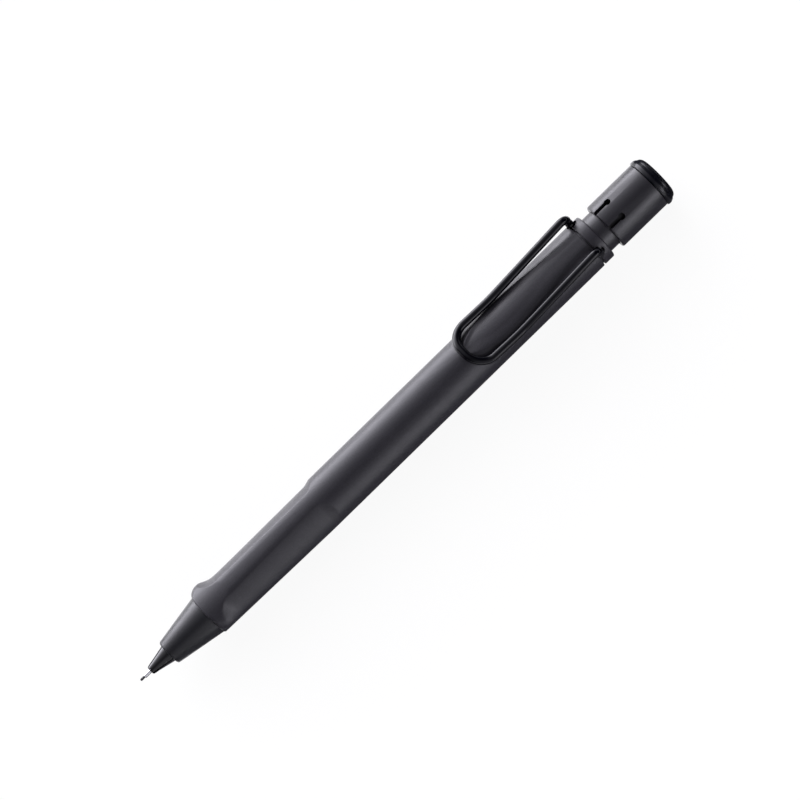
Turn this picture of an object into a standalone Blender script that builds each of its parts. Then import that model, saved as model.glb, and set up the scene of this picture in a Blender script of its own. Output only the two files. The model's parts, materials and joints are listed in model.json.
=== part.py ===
"""Push-button mechanical pencil for 0.5 mm lead, with a bent-wire pocket clip, as separate pieces.

The pencil lies along X with its point towards -X and its clip up (+Z). Stations are distances along
the pencil's axis, from the open end of the guide pipe towards the button. Angles round the axis are
measured from the clip, positive towards -Y. Outlines of turned pieces are (station, radius) corners,
and a third number on a corner is the radius that rounds it.
"""

import math

import bmesh
import bpy
from mathutils import Vector

MM = 0.001

# Clearances
SEAT_GAP = 0.05 * MM  # between faces that rest on each other
FIT_GAP = 0.05 * MM  # round a piece that is pressed or snapped in
SLIDE_GAP = 0.10 * MM  # round a piece that slides
FINE_GAP = 0.03 * MM  # round the lead, the needle and the guide pipe
END_GAP = 0.20 * MM  # left over at the end of a stroke

# Strokes
PUSH_TRAVEL = 2.0 * MM
RING_TRAVEL = 0.7 * MM

# Lead and guide pipe
LEAD_DIAMETER = 0.5 * MM
LEAD_LENGTH = 60.0 * MM
LEAD_STANDOUT = 1.06 * MM
SPARE_LEADS = 3
SPARE_LEAD_SPREAD = math.radians(38)
PIPE_WALL = 0.12 * MM
PIPE_LENGTH = 6.0 * MM
PIPE_STANDOUT = 1.58 * MM

# Tip cone and the brake ring inside it
TIP_FRONT_RADIUS = 0.88 * MM
TIP_BACK_RADIUS = 2.0 * MM
TIP_CONE_LENGTH = 4.84 * MM
TIP_EDGE_ROUND = 0.28 * MM
TIP_FLANGE_LENGTH = 1.2 * MM
TIP_SPIGOT_LENGTH = 2.8 * MM
TIP_SPIGOT_WALL = 0.4 * MM
BRAKE_RADIUS = 1.15 * MM
BRAKE_LENGTH = 2.2 * MM

# Nose cone
NOSE_FRONT_RADIUS = 2.7 * MM
NOSE_BACK_RADIUS = 4.48 * MM
NOSE_LENGTH = 10.63 * MM
NOSE_EDGE_ROUND = 0.5 * MM
NOSE_STEP_DEPTH = 5.4 * MM
NOSE_SPIGOT_WALL = 0.9 * MM

# Chuck, its ring, the sleeve round them and the return spring
CHUCK_HEAD_RADIUS = 1.65 * MM
CHUCK_CROWN_LENGTH = 1.0 * MM
CHUCK_TAPER_LENGTH = 2.7 * MM
CHUCK_NECK_RADIUS = 1.1 * MM
CHUCK_STEM_RADIUS = 1.0 * MM
CHUCK_STEM_WALL = 0.5 * MM
CHUCK_SLOT_WIDTH = 0.3 * MM
CHUCK_SLOT_LENGTH = 8.0 * MM
CHUCK_JAWS = 3
RING_LENGTH = 2.0 * MM
SLEEVE_WALL = 0.4 * MM
SLEEVE_WEB = 1.2 * MM
SLEEVE_FLANGE_LENGTH = 0.9 * MM
SLEEVE_TAIL_LENGTH = 4.0 * MM
SPRING_LENGTH = 11.6 * MM
SPRING_WIRE = 0.4 * MM
SPRING_TURNS = 7
COUPLER_SOCKET_DEPTH = 2.0 * MM
COUPLER_WEB = 2.0 * MM
COUPLER_WALL = 0.5 * MM
TUBE_SOCKET_DEPTH = 3.9 * MM
TUBE_BORE_RADIUS = 1.25 * MM
TUBE_WALL = 0.45 * MM

# Barrel and its grip
BARREL_RADIUS = 5.19 * MM
BARREL_LENGTH = 102.0 * MM
BARREL_BORE_RADIUS = 3.0 * MM
GRIP_TAPER = 0.45 * MM
GRIP_TAPER_LENGTH = 28.9 * MM
RIM_ROUND_LENGTH = 0.4 * MM
RIM_STANDOUT = 0.06 * MM
FACET_ANGLE = math.radians(53)
FACET_CURVE = 9.0 * MM
FACET_FRONT_DEPTH = 0.68 * MM
FACET_BACK_DEPTH = 0.5 * MM
FACET_END = 32.05 * MM
FACET_RAMP_LENGTH = 2.2 * MM
FACET_RISE_START = 4.35 * MM
FACET_RISE_SLOPE = 0.36
FACET_RISE_ROUND = 0.8 * MM
FACET_RISE_SWEEP = 0.75 * MM  # how much earlier a facet rises beside its lip
TOP_CURVE = 8.0 * MM
TOP_DEPTH = 0.065 * MM
LIP_ANGLE = math.radians(70)
LIP_END_ANGLE = math.radians(95)
LIP_HEIGHT = 0.93 * MM
LIP_PEAK = 1.97 * MM
LIP_TAIL_LENGTH = 5.0 * MM

# Scoop in the barrel under the clip, measured from the barrel's top end
SCOOP_DEEPEST = 21.1 * MM
SCOOP_ENTRY_LENGTH = 10.6 * MM
SCOOP_EXIT_LENGTH = 19.0 * MM
SCOOP_DEPTH = 0.68 * MM
SCOOP_EXIT_DEPTH = 0.17 * MM
SCOOP_HALF_WIDTH = 3.47 * MM
SCOOP_EXIT_HALF_WIDTH = 1.7 * MM
SCOOP_CURVE = 6.5 * MM
SCOOP_POINTEDNESS = 0.7

# Collar and the top of the barrel
COLLAR_INSET = 0.05 * MM
COLLAR_LENGTH = 2.66 * MM
SEAM_GAP = 0.22 * MM  # groove between the barrel and the collar
COLLAR_WALL = 0.39 * MM
COLLAR_LIP = 0.5 * MM
COLLAR_EDGE_ROUND = 0.35 * MM
SPIGOT_WALL = 0.45 * MM
TOP_BORE_DEPTH = 4.45 * MM

# Plunger, cap, button and what the plunger holds
NECK_SPARE = 0.36 * MM  # neck that still shows with the button pressed
CAP_INSET = 0.04 * MM
CAP_LENGTH = 11.79 * MM
CAP_EDGE_ROUND = 0.45 * MM
TONGUE_ANGLE = math.radians(4.7)
TONGUE_HALF_ANGLE = math.radians(23.4)
SLOT_WIDTH = 0.78 * MM
SLOT_LENGTH = 4.07 * MM
SLOT_EYE_DIAMETER = 1.4 * MM
PLUNGER_REACH = 6.9 * MM
PLUNGER_NOSE_LENGTH = 2.5 * MM
PLUNGER_NOSE_WALL = 0.65 * MM
PLUNGER_LAND = 0.5 * MM
PLUNGER_WAIST_DEPTH = 0.75 * MM
ERASER_RADIUS = 2.55 * MM
ERASER_LENGTH = 10.0 * MM
ERASER_DEPTH = 8.0 * MM
ERASER_EDGE_ROUND = 0.3 * MM
PLUG_RADIUS = 1.9 * MM
PLUG_LENGTH = 3.6 * MM
PLUG_STEM_LENGTH = 3.4 * MM
NEEDLE_DIAMETER = 0.4 * MM
NEEDLE_LENGTH = 14.0 * MM
NEEDLE_HOLD = 4.0 * MM
BEAD_RADIUS = 5.46 * MM
BEAD_LENGTH = 1.3 * MM
BEAD_ROUND = 0.42 * MM
DOME_INSET = 0.44 * MM
DOME_LENGTH = 1.24 * MM
DOME_ROUND = 1.15 * MM
BUTTON_WALL = 1.2 * MM

# Clip wire
WIRE_DIAMETER = 1.7 * MM
CLIP_GAP = 0.1 * MM
CLIP_LOOP_SETBACK = 32.06 * MM
CLIP_LOOP_INSET = 0.74 * MM
CLIP_LOOP_BEND = 3.4 * MM
CLIP_LOOP_CURVE = 7.2 * MM  # arch of the loop's end over the barrel
CLIP_SADDLE_SETBACK = 21.6 * MM
CLIP_SADDLE_BEND = 25.0 * MM
CLIP_TOP_INSET = 0.51 * MM
CLIP_TOP_HEIGHT = 1.26 * MM
HOOK_SETBACK = 0.5 * MM
HOOK_ANGLE = math.radians(50.5)
HOOK_HOLE_DIAMETER = 2.25 * MM
HOOK_BEND = 1.55 * MM
HOOK_END_GAP = 0.2 * MM

# Facet counts
SIDES = 40
INNER_SIDES = 24
SMALL_SIDES = 16
FILLET_STEPS = 4
LOOP_STEPS = 9
SCOOP_STEPS = 7
SCOOP_ARC_STEPS = 8
SPRING_STEPS = 10
WIRE_RESOLUTION = 2
SPRING_RESOLUTION = 1
MERGE = 1e-8
SHARP_ANGLE = math.radians(32)

# Radii, from the lead outwards
lead_radius = LEAD_DIAMETER / 2
lead_way = lead_radius + FINE_GAP
pipe_radius = lead_way + PIPE_WALL
pipe_seat = pipe_radius + FINE_GAP
brake_seat = BRAKE_RADIUS + FIT_GAP
chuck_cavity = CHUCK_HEAD_RADIUS + SLIDE_GAP
tip_spigot_radius = chuck_cavity + TIP_SPIGOT_WALL
sleeve_bore = tip_spigot_radius + FIT_GAP
sleeve_radius = sleeve_bore + SLEEVE_WALL
nose_bore = sleeve_radius + SLIDE_GAP
nose_spigot_radius = nose_bore + NOSE_SPIGOT_WALL
front_bore = nose_spigot_radius + SLIDE_GAP
sleeve_flange_radius = nose_spigot_radius - FIT_GAP
tip_neck_radius = TIP_BACK_RADIUS
nose_front_bore = tip_neck_radius + FIT_GAP
stem_bore = CHUCK_STEM_RADIUS - CHUCK_STEM_WALL
stem_way = CHUCK_STEM_RADIUS + SLIDE_GAP
ring_radius = sleeve_bore - SLIDE_GAP
spring_radius = (stem_way + sleeve_bore) / 2
tube_radius = TUBE_BORE_RADIUS + TUBE_WALL
tube_seat = tube_radius + FIT_GAP
coupler_flange_radius = sleeve_bore - SLIDE_GAP
coupler_radius = max(tube_seat + COUPLER_WALL, coupler_flange_radius)
plunger_nose_radius = tube_seat + PLUNGER_NOSE_WALL
plug_stem_radius = TUBE_BORE_RADIUS - SLIDE_GAP
plug_seat = PLUG_RADIUS + FIT_GAP
needle_radius = NEEDLE_DIAMETER / 2
eraser_seat = ERASER_RADIUS + FIT_GAP

# Radii, from the barrel inwards
collar_radius = BARREL_RADIUS - COLLAR_INSET
spigot_radius = collar_radius - COLLAR_WALL - FIT_GAP
top_bore = spigot_radius - SPIGOT_WALL
neck_radius = top_bore - SLIDE_GAP
cap_radius = BARREL_RADIUS - CAP_INSET
waist_radius = neck_radius - PLUNGER_WAIST_DEPTH
cap_bore = neck_radius + SLIDE_GAP
button_spigot_radius = cap_bore - FIT_GAP
dome_radius = BEAD_RADIUS - DOME_INSET
wire_radius = WIRE_DIAMETER / 2
wire_path_radius = BARREL_RADIUS + wire_radius + CLIP_GAP

# Stations, from the point to the button
tip_front = PIPE_STANDOUT
nose_front = tip_front + TIP_CONE_LENGTH + SEAT_GAP
nose_step = nose_front + NOSE_STEP_DEPTH
tip_flange_front = nose_step + SEAT_GAP
tip_flange_back = tip_flange_front + TIP_FLANGE_LENGTH
tip_spigot_back = tip_flange_back + TIP_SPIGOT_LENGTH
chuck_front = tip_flange_back + PUSH_TRAVEL
chuck_cavity_front = chuck_front - PUSH_TRAVEL - END_GAP
brake_back = chuck_cavity_front - SEAT_GAP
brake_front = brake_back - BRAKE_LENGTH
chuck_taper_front = chuck_front + CHUCK_CROWN_LENGTH
chuck_taper_back = chuck_taper_front + CHUCK_TAPER_LENGTH
ring_front = max(tip_spigot_back + RING_TRAVEL + END_GAP, chuck_taper_front + RING_TRAVEL)
ring_back = ring_front + RING_LENGTH
sleeve_front = tip_flange_back + SEAT_GAP
sleeve_web_front = max(ring_back, chuck_taper_back) + SEAT_GAP
sleeve_web_back = sleeve_web_front + SLEEVE_WEB
spring_front = sleeve_web_back + SEAT_GAP
spring_back = spring_front + SPRING_LENGTH
coupler_front = spring_back + SEAT_GAP
sleeve_back = coupler_front
coupler_body_front = sleeve_back + PUSH_TRAVEL + END_GAP
chuck_back = coupler_front + COUPLER_SOCKET_DEPTH - SEAT_GAP
tube_front = coupler_front + COUPLER_SOCKET_DEPTH + COUPLER_WEB
coupler_back = tube_front + TUBE_SOCKET_DEPTH
sleeve_flange_back = sleeve_back - SLEEVE_TAIL_LENGTH
sleeve_flange_front = sleeve_flange_back - SLEEVE_FLANGE_LENGTH
nose_back = sleeve_flange_front - SEAT_GAP
front_bore_back = sleeve_flange_back + SEAT_GAP
barrel_front = nose_front + NOSE_LENGTH
nose_shoulder = barrel_front - SEAT_GAP
barrel_back = barrel_front + BARREL_LENGTH
collar_front = barrel_back + SEAM_GAP
collar_back = barrel_back + COLLAR_LENGTH
spigot_back = collar_back - COLLAR_LIP - SEAT_GAP
top_bore_front = barrel_back - TOP_BORE_DEPTH
cap_front = collar_back + PUSH_TRAVEL + NECK_SPARE
cap_back = cap_front + CAP_LENGTH
button_back = cap_back + BEAD_LENGTH + DOME_LENGTH
plunger_shoulder = top_bore_front + PUSH_TRAVEL + END_GAP
plunger_front = plunger_shoulder - PLUNGER_NOSE_LENGTH
plunger_back = cap_front + PLUNGER_REACH
waist_front = cap_front + PLUNGER_LAND
waist_back = cap_front + SLOT_LENGTH + PLUNGER_LAND
eraser_front = plunger_back - ERASER_DEPTH
eraser_back = eraser_front + ERASER_LENGTH
plug_back = eraser_front - SEAT_GAP
plug_front = plug_back - PLUG_LENGTH
plug_stem_front = plug_front - PLUG_STEM_LENGTH
tube_back = plunger_shoulder
needle_back = plug_stem_front + NEEDLE_HOLD
needle_front = needle_back - NEEDLE_LENGTH
hook_station = barrel_back + HOOK_SETBACK
loop_station = hook_station - CLIP_LOOP_SETBACK
axis_height = BEAD_RADIUS * math.cos(math.pi / SIDES)
mid_station = (button_back - LEAD_STANDOUT) / 2


def clear_scene():
    for old in list(bpy.data.objects):
        bpy.data.objects.remove(old, do_unlink=True)


def make_material(name, colour, roughness, metallic=0.0):
    material = bpy.data.materials.new(name)
    material.use_nodes = True
    shader = material.node_tree.nodes["Principled BSDF"]
    shader.inputs["Base Color"].default_value = (*colour, 1.0)
    shader.inputs["Roughness"].default_value = roughness
    shader.inputs["Metallic"].default_value = metallic
    return material


def make_empty(name, location, parent=None):
    empty = bpy.data.objects.new(name, None)
    empty.location = location
    empty.parent = parent
    bpy.context.collection.objects.link(empty)
    return empty


def place(name, data, material, parent, location=(0, 0, 0)):
    piece = bpy.data.objects.new(name, data)
    piece.location = location
    piece.parent = parent
    data.materials.append(material)
    bpy.context.collection.objects.link(piece)
    return piece


def as_cutter(piece):
    piece.hide_render = True
    piece.display_type = "WIRE"
    return piece


def cut(piece, cutter):
    boolean = piece.modifiers.new("cut_" + cutter.name, "BOOLEAN")
    boolean.operation = "DIFFERENCE"
    boolean.object = cutter


def finished_mesh(name, bm):
    """The bmesh as mesh data, with poles merged, faces pointing out and round faces shaded smooth."""
    bmesh.ops.remove_doubles(bm, verts=bm.verts, dist=MERGE)
    bmesh.ops.recalc_face_normals(bm, faces=bm.faces)
    mesh = bpy.data.meshes.new(name)
    bm.to_mesh(mesh)
    bm.free()
    mesh.shade_smooth()
    mesh.set_sharp_from_angle(angle=SHARP_ANGLE)
    return mesh


def rounded(corners, steps=FILLET_STEPS):
    """A polyline's points, in two or three dimensions, with arcs at the corners that have a radius.

    A corner is (point, radius). The two end points stay as they are.
    """
    points = [corners[0][0]]
    for (before, _), (corner, radius), (after, _) in zip(corners, corners[1:], corners[2:]):
        if radius == 0:
            points.append(corner)
            continue
        back = (before - corner).normalized()
        ahead = (after - corner).normalized()
        half = back.angle(ahead) / 2
        centre = corner + (back + ahead).normalized() * radius / math.sin(half)
        first = corner + back * radius / math.tan(half) - centre
        last = corner + ahead * radius / math.tan(half) - centre
        turn = math.pi - 2 * half
        for step in range(steps + 1):
            share = step / steps
            spoke = first * math.sin((1 - share) * turn) + last * math.sin(share * turn)
            points.append(centre + spoke / math.sin(turn))
    points.append(corners[-1][0])
    return points


def turned(name, outline, material, parent, sides=SIDES, closed=True):
    """A solid of revolution about the pencil's axis. An outline that isn't closed ends on the axis."""
    corners = [(Vector(corner[:2]), corner[2] if len(corner) > 2 else 0) for corner in outline]
    origin = outline[0][0]
    half_side = math.pi / sides
    bm = bmesh.new()
    ring = []
    for station, radius in rounded(corners):
        side_way = radius * math.sin(half_side)
        up_way = radius * math.cos(half_side)
        ring.append(bm.verts.new((station - origin, side_way, up_way)))
    edges = [bm.edges.new(pair) for pair in zip(ring, ring[1:])]
    if closed:
        edges.append(bm.edges.new((ring[-1], ring[0])))
    bmesh.ops.spin(
        bm, geom=ring + edges, cent=(0, 0, 0), axis=(1, 0, 0), angle=2 * math.pi, steps=sides, use_merge=True
    )
    return place(name, finished_mesh(name, bm), material, parent, (origin, 0, 0))


def extruded(name, outline, half_depth, material, parent):
    """A prism of an outline in X and Z, as deep as twice half_depth along Y."""
    bm = bmesh.new()
    face = bm.faces.new([bm.verts.new((x, -half_depth, z)) for x, z in outline])
    sweep = bmesh.ops.extrude_face_region(bm, geom=[face])
    moved = [item for item in sweep["geom"] if isinstance(item, bmesh.types.BMVert)]
    bmesh.ops.translate(bm, verts=moved, vec=(0, 2 * half_depth, 0))
    return place(name, finished_mesh(name, bm), material, parent)


def bent_wire(name, points, diameter, resolution, material, parent, origin):
    """A round wire along a list of points."""
    curve = bpy.data.curves.new(name, "CURVE")
    curve.dimensions = "3D"
    curve.bevel_depth = diameter / 2
    curve.bevel_resolution = resolution
    curve.use_fill_caps = True
    spline = curve.splines.new("POLY")
    spline.points.add(len(points) - 1)
    for knot, point in zip(spline.points, points):
        knot.co = (*(point - origin), 1.0)
    return place(name, curve, material, parent, origin)


def round_the_axis(station, radius, angle):
    return Vector((station, -radius * math.sin(angle), radius * math.cos(angle)))


def share_between(value, start, end):
    return min(max((value - start) / (end - start), 0.0), 1.0)


def arc_distance(angle, crown_angle, crown, curve):
    """Distance from the axis to an arc of radius curve that is nearest the axis, at crown, at crown_angle."""
    offset = curve - crown
    turn = angle - crown_angle
    return math.sqrt(curve**2 - (offset * math.sin(turn)) ** 2) - offset * math.cos(turn)


def facet_crown(station, angle):
    """Distance from the axis to a finger facet's crown, which rises to the lip in a curve at its front."""
    lip_end = barrel_front + LIP_PEAK + LIP_TAIL_LENGTH
    facet_back = barrel_front + FACET_END
    along = share_between(station, lip_end, facet_back)
    depth = FACET_FRONT_DEPTH + (FACET_BACK_DEPTH - FACET_FRONT_DEPTH) * along
    ramp = share_between(station, facet_back - FACET_RAMP_LENGTH, facet_back)
    sweep = FACET_RISE_SWEEP * share_between(abs(angle), FACET_ANGLE, LIP_ANGLE)
    before = barrel_front + FACET_RISE_START + sweep - station
    rise = FACET_RISE_SLOPE * (math.hypot(before, FACET_RISE_ROUND) + before) / 2
    return BARREL_RADIUS - depth * (1 - ramp**2) + rise


def lip_height(station, angle):
    """How far the finger lip at the front of a facet stands out."""
    peak = barrel_front + LIP_PEAK
    ahead = share_between(station, peak, barrel_front)
    behind = share_between(station, peak, peak + LIP_TAIL_LENGTH)
    under = share_between(abs(angle), LIP_ANGLE, LIP_END_ANGLE)
    fading = math.cos(behind * math.pi / 2) * math.cos(under * math.pi / 2)
    return LIP_HEIGHT * (1 - ahead**2) * fading**2


def barrel_surface(station, angle):
    """Radius of the barrel's outside: a tapered round with two lips, under a flat top and two facets."""
    narrowing = 1 - share_between(station, barrel_front, barrel_front + GRIP_TAPER_LENGTH)
    body = BARREL_RADIUS - GRIP_TAPER * narrowing
    rim = 1 - share_between(station, barrel_front, barrel_front + RIM_ROUND_LENGTH)
    body -= (body - NOSE_BACK_RADIUS - RIM_STANDOUT) * rim**2
    top = arc_distance(angle, 0, body - TOP_DEPTH * narrowing, TOP_CURVE)
    facet = arc_distance(abs(angle), FACET_ANGLE, facet_crown(station, angle), FACET_CURVE)
    return min(body + lip_height(station, angle), top, facet)


def grip_stations():
    """Stations of the barrel's outer rings: close together at the lips and at the facets' ends."""
    peak = barrel_front + LIP_PEAK
    lip_end = peak + LIP_TAIL_LENGTH
    facet_back = barrel_front + FACET_END
    ramp_front = facet_back - FACET_RAMP_LENGTH
    rim_back = barrel_front + RIM_ROUND_LENGTH
    stations = [barrel_front, rim_back, (rim_back + peak) / 2, peak]
    stations += [peak + LIP_TAIL_LENGTH * share for share in (0.2, 0.4, 0.6, 0.8, 1.0)]
    stations += [lip_end + (ramp_front - lip_end) * share for share in (0.25, 0.5, 0.75, 1.0)]
    stations += [ramp_front + FACET_RAMP_LENGTH * share for share in (0.4, 0.65, 0.85, 1.0)]
    return stations


def make_barrel(material, parent):
    rings = [(station, barrel_surface) for station in grip_stations()]
    turned_part = [
        (barrel_back, BARREL_RADIUS),
        (barrel_back, spigot_radius),
        (spigot_back, spigot_radius),
        (spigot_back, top_bore),
        (top_bore_front, top_bore),
        (top_bore_front, BARREL_BORE_RADIUS),
        (front_bore_back, BARREL_BORE_RADIUS),
        (front_bore_back, front_bore),
        (barrel_front, front_bore),
    ]
    rings += [(station, lambda _, __, radius=radius: radius) for station, radius in turned_part]
    bm = bmesh.new()
    loops = []
    for station, surface in rings:
        loop = []
        for side in range(SIDES):
            angle = math.pi * (2 * side + 1 - SIDES) / SIDES
            loop.append(bm.verts.new(round_the_axis(station - barrel_front, surface(station, angle), angle)))
        loops.append(loop)
    for loop, following in zip(loops, loops[1:] + loops[:1]):
        for side in range(SIDES):
            beside = (side + 1) % SIDES
            bm.faces.new((loop[side], loop[beside], following[beside], following[side]))
    return place("barrel", finished_mesh("barrel", bm), material, parent, (barrel_front, 0, 0))


def scoop_section(station):
    """Depth of the scoop's middle and half of its width: both swell to the deepest place and then fade."""
    deepest = barrel_back - SCOOP_DEEPEST
    ahead = share_between(station, deepest, deepest - SCOOP_ENTRY_LENGTH)
    behind = share_between(station, deepest, deepest + SCOOP_EXIT_LENGTH)
    swell = 1 - ahead**2
    fade = math.sin(behind * math.pi / 2)
    depth = SCOOP_DEPTH * swell - (SCOOP_DEPTH - SCOOP_EXIT_DEPTH) * fade
    half_width = SCOOP_HALF_WIDTH * swell**SCOOP_POINTEDNESS
    half_width -= (SCOOP_HALF_WIDTH - SCOOP_EXIT_HALF_WIDTH) * fade**2
    return depth, half_width


def make_scoop_cutter(material, parent):
    """The hollow under the clip, as a loft of sections with a round floor and upright sides."""
    deepest = barrel_back - SCOOP_DEEPEST
    stations = [deepest - SCOOP_ENTRY_LENGTH * (1 - step / SCOOP_STEPS) for step in range(SCOOP_STEPS)]
    stations[0] += END_GAP
    stations += [deepest + SCOOP_EXIT_LENGTH * step / SCOOP_STEPS for step in range(SCOOP_STEPS + 1)]
    stations.append(collar_back)
    bm = bmesh.new()
    loops = []
    for station in stations:
        depth, half_width = scoop_section(station)
        centre = BARREL_RADIUS - depth - SCOOP_CURVE
        loop = [bm.verts.new((station, half_width, 2 * BARREL_RADIUS))]
        loop.append(bm.verts.new((station, -half_width, 2 * BARREL_RADIUS)))
        for step in range(SCOOP_ARC_STEPS + 1):
            across = half_width * (2 * step / SCOOP_ARC_STEPS - 1)
            loop.append(bm.verts.new((station, across, centre + math.sqrt(SCOOP_CURVE**2 - across**2))))
        loops.append(loop)
    for loop, following in zip(loops, loops[1:]):
        for side in range(len(loop)):
            beside = (side + 1) % len(loop)
            bm.faces.new((loop[side], loop[beside], following[beside], following[side]))
    bm.faces.new(loops[0])
    bm.faces.new(loops[-1])
    return as_cutter(place("scoop_cutter", finished_mesh("scoop_cutter", bm), material, parent))


def make_hook_cutter(name, angle, material, parent):
    """A round peg along a hook's way in, through the collar and the spigot under it."""
    bm = bmesh.new()
    depth = 2 * BARREL_RADIUS - neck_radius
    radius = HOOK_HOLE_DIAMETER / 2
    bmesh.ops.create_cone(
        bm, cap_ends=True, segments=SMALL_SIDES, radius1=radius, radius2=radius, depth=depth
    )
    bmesh.ops.translate(bm, verts=bm.verts, vec=(0, 0, neck_radius + depth / 2))
    cutter = place(name, finished_mesh(name, bm), material, parent, (hook_station, 0, 0))
    cutter.rotation_euler = (angle, 0, 0)
    return as_cutter(cutter)


def make_keyhole_cutter(name, angle, material, parent):
    """A keyhole-shaped bar right through the cap, for two slots opposite each other."""
    eye = SLOT_EYE_DIAMETER / 2
    half_width = SLOT_WIDTH / 2
    centre = SLOT_LENGTH - eye
    mouth = math.asin(half_width / eye)
    outline = [(-SLOT_WIDTH, half_width), (-SLOT_WIDTH, -half_width)]
    for step in range(SMALL_SIDES):
        turn = math.pi + mouth + (2 * math.pi - 2 * mouth) * step / (SMALL_SIDES - 1)
        outline.append((centre + eye * math.cos(turn), eye * math.sin(turn)))
    cutter = extruded(name, outline, 2 * BARREL_RADIUS, material, parent)
    cutter.location = (cap_front, 0, 0)
    cutter.rotation_euler = (angle + math.pi / 2, 0, 0)
    return as_cutter(cutter)


def make_slot_cutter(name, angle, material, parent):
    """A thin blade from the axis outwards, for the gap between two jaws of the chuck."""
    half = CHUCK_SLOT_WIDTH / 2
    outline = [(-half, 0), (CHUCK_SLOT_LENGTH, 0), (CHUCK_SLOT_LENGTH, 1), (-half, 1)]
    reach = 2 * CHUCK_HEAD_RADIUS
    blade = extruded(name, [(x, up * reach) for x, up in outline], half, material, parent)
    blade.location = (chuck_front, 0, 0)
    blade.rotation_euler = (angle, 0, 0)
    return as_cutter(blade)


def make_clip(material, parent, pivot):
    """Half of the wire from its hook to the middle of the loop, then the same mirrored."""
    loop_half = BARREL_RADIUS - CLIP_LOOP_INSET
    top_half = BARREL_RADIUS - CLIP_TOP_INSET
    hole_mouth = round_the_axis(hook_station, wire_path_radius, HOOK_ANGLE)
    hook_end = round_the_axis(hook_station, neck_radius + HOOK_END_GAP, HOOK_ANGLE)
    hook_top = Vector((hook_station, -top_half, BARREL_RADIUS + CLIP_TOP_HEIGHT))
    touching = math.sqrt(wire_path_radius**2 - loop_half**2)
    saddle = Vector((hook_station - CLIP_SADDLE_SETBACK, -loop_half, touching))
    plan = [
        (Vector((loop_station + CLIP_LOOP_BEND + END_GAP, -loop_half)), 0),
        (Vector((loop_station, -loop_half)), CLIP_LOOP_BEND),
        (Vector((loop_station, 0)), 0),
    ]
    arch_centre = wire_path_radius - CLIP_LOOP_CURVE
    loop = []
    for station, across in rounded(plan, LOOP_STEPS):
        loop.append(Vector((station, across, arch_centre + math.sqrt(CLIP_LOOP_CURVE**2 - across**2))))
    half_turn = (hook_top - saddle).angle(saddle - loop[0]) / 2
    saddle.z -= CLIP_SADDLE_BEND * (1 / math.cos(half_turn) - 1)
    hook = [(hook_end, 0), (hole_mouth, HOOK_BEND), (hook_top, HOOK_BEND), (saddle, CLIP_SADDLE_BEND)]
    half_wire = rounded(hook + [(loop[0], 0)]) + loop[1:]
    other_half = [Vector((point.x, -point.y, point.z)) for point in reversed(half_wire[:-1])]
    return bent_wire("clip", half_wire + other_half, WIRE_DIAMETER, WIRE_RESOLUTION, material, parent, pivot)


def make_spring(material, parent):
    """A coil whose first and last turns lie closed."""
    points = []
    closed_turn = SPRING_WIRE + FINE_GAP
    reach = SPRING_LENGTH - SPRING_WIRE
    open_pitch = (reach - 2 * closed_turn) / (SPRING_TURNS - 2)
    for step in range(SPRING_TURNS * SPRING_STEPS + 1):
        turns = step / SPRING_STEPS
        opened = min(max(turns - 1, 0), SPRING_TURNS - 2)
        along = closed_turn * (turns - opened) + open_pitch * opened
        station = spring_front + SPRING_WIRE / 2 + along
        points.append(round_the_axis(station, spring_radius, 2 * math.pi * turns))
    origin = Vector((spring_front, 0, 0))
    return bent_wire("return_spring", points, SPRING_WIRE, SPRING_RESOLUTION, material, parent, origin)


def make_point(materials, parent):
    """Lead, pipe, brake ring, tip cone and nose cone."""
    lead_end = LEAD_LENGTH - LEAD_STANDOUT
    lead = [(-LEAD_STANDOUT, 0), (-LEAD_STANDOUT, lead_radius), (lead_end, lead_radius), (lead_end, 0)]
    turned("lead", lead, materials["graphite"], parent, SMALL_SIDES, closed=False)
    pipe = [(0, lead_way), (0, pipe_radius), (PIPE_LENGTH, pipe_radius), (PIPE_LENGTH, lead_way)]
    turned("guide_pipe", pipe, materials["steel"], parent, SMALL_SIDES)
    brake = [
        (brake_front, lead_way),
        (brake_front, BRAKE_RADIUS),
        (brake_back, BRAKE_RADIUS),
        (brake_back, lead_way),
    ]
    turned("lead_brake", brake, materials["rubber"], parent, SMALL_SIDES)
    tip = [
        (tip_front, pipe_seat),
        (tip_front, TIP_FRONT_RADIUS, TIP_EDGE_ROUND),
        (tip_front + TIP_CONE_LENGTH, TIP_BACK_RADIUS),
        (tip_flange_front, tip_neck_radius),
        (tip_flange_front, sleeve_radius),
        (tip_flange_back, sleeve_radius),
        (tip_flange_back, tip_spigot_radius),
        (tip_spigot_back, tip_spigot_radius),
        (tip_spigot_back, chuck_cavity),
        (chuck_cavity_front, chuck_cavity),
        (chuck_cavity_front, brake_seat),
        (brake_front - SEAT_GAP, brake_seat),
        (brake_front - SEAT_GAP, lead_way),
        (PIPE_LENGTH + SEAT_GAP, lead_way),
        (PIPE_LENGTH + SEAT_GAP, pipe_seat),
    ]
    turned("tip_cone", tip, materials["gloss_black"], parent, INNER_SIDES)
    nose = [
        (nose_front, nose_front_bore),
        (nose_front, NOSE_FRONT_RADIUS, NOSE_EDGE_ROUND),
        (nose_shoulder, NOSE_BACK_RADIUS),
        (nose_shoulder, nose_spigot_radius),
        (nose_back, nose_spigot_radius),
        (nose_back, nose_bore),
        (nose_step, nose_bore),
        (nose_step, nose_front_bore),
    ]
    turned("nose_cone", nose, materials["satin_black"], parent)


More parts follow.
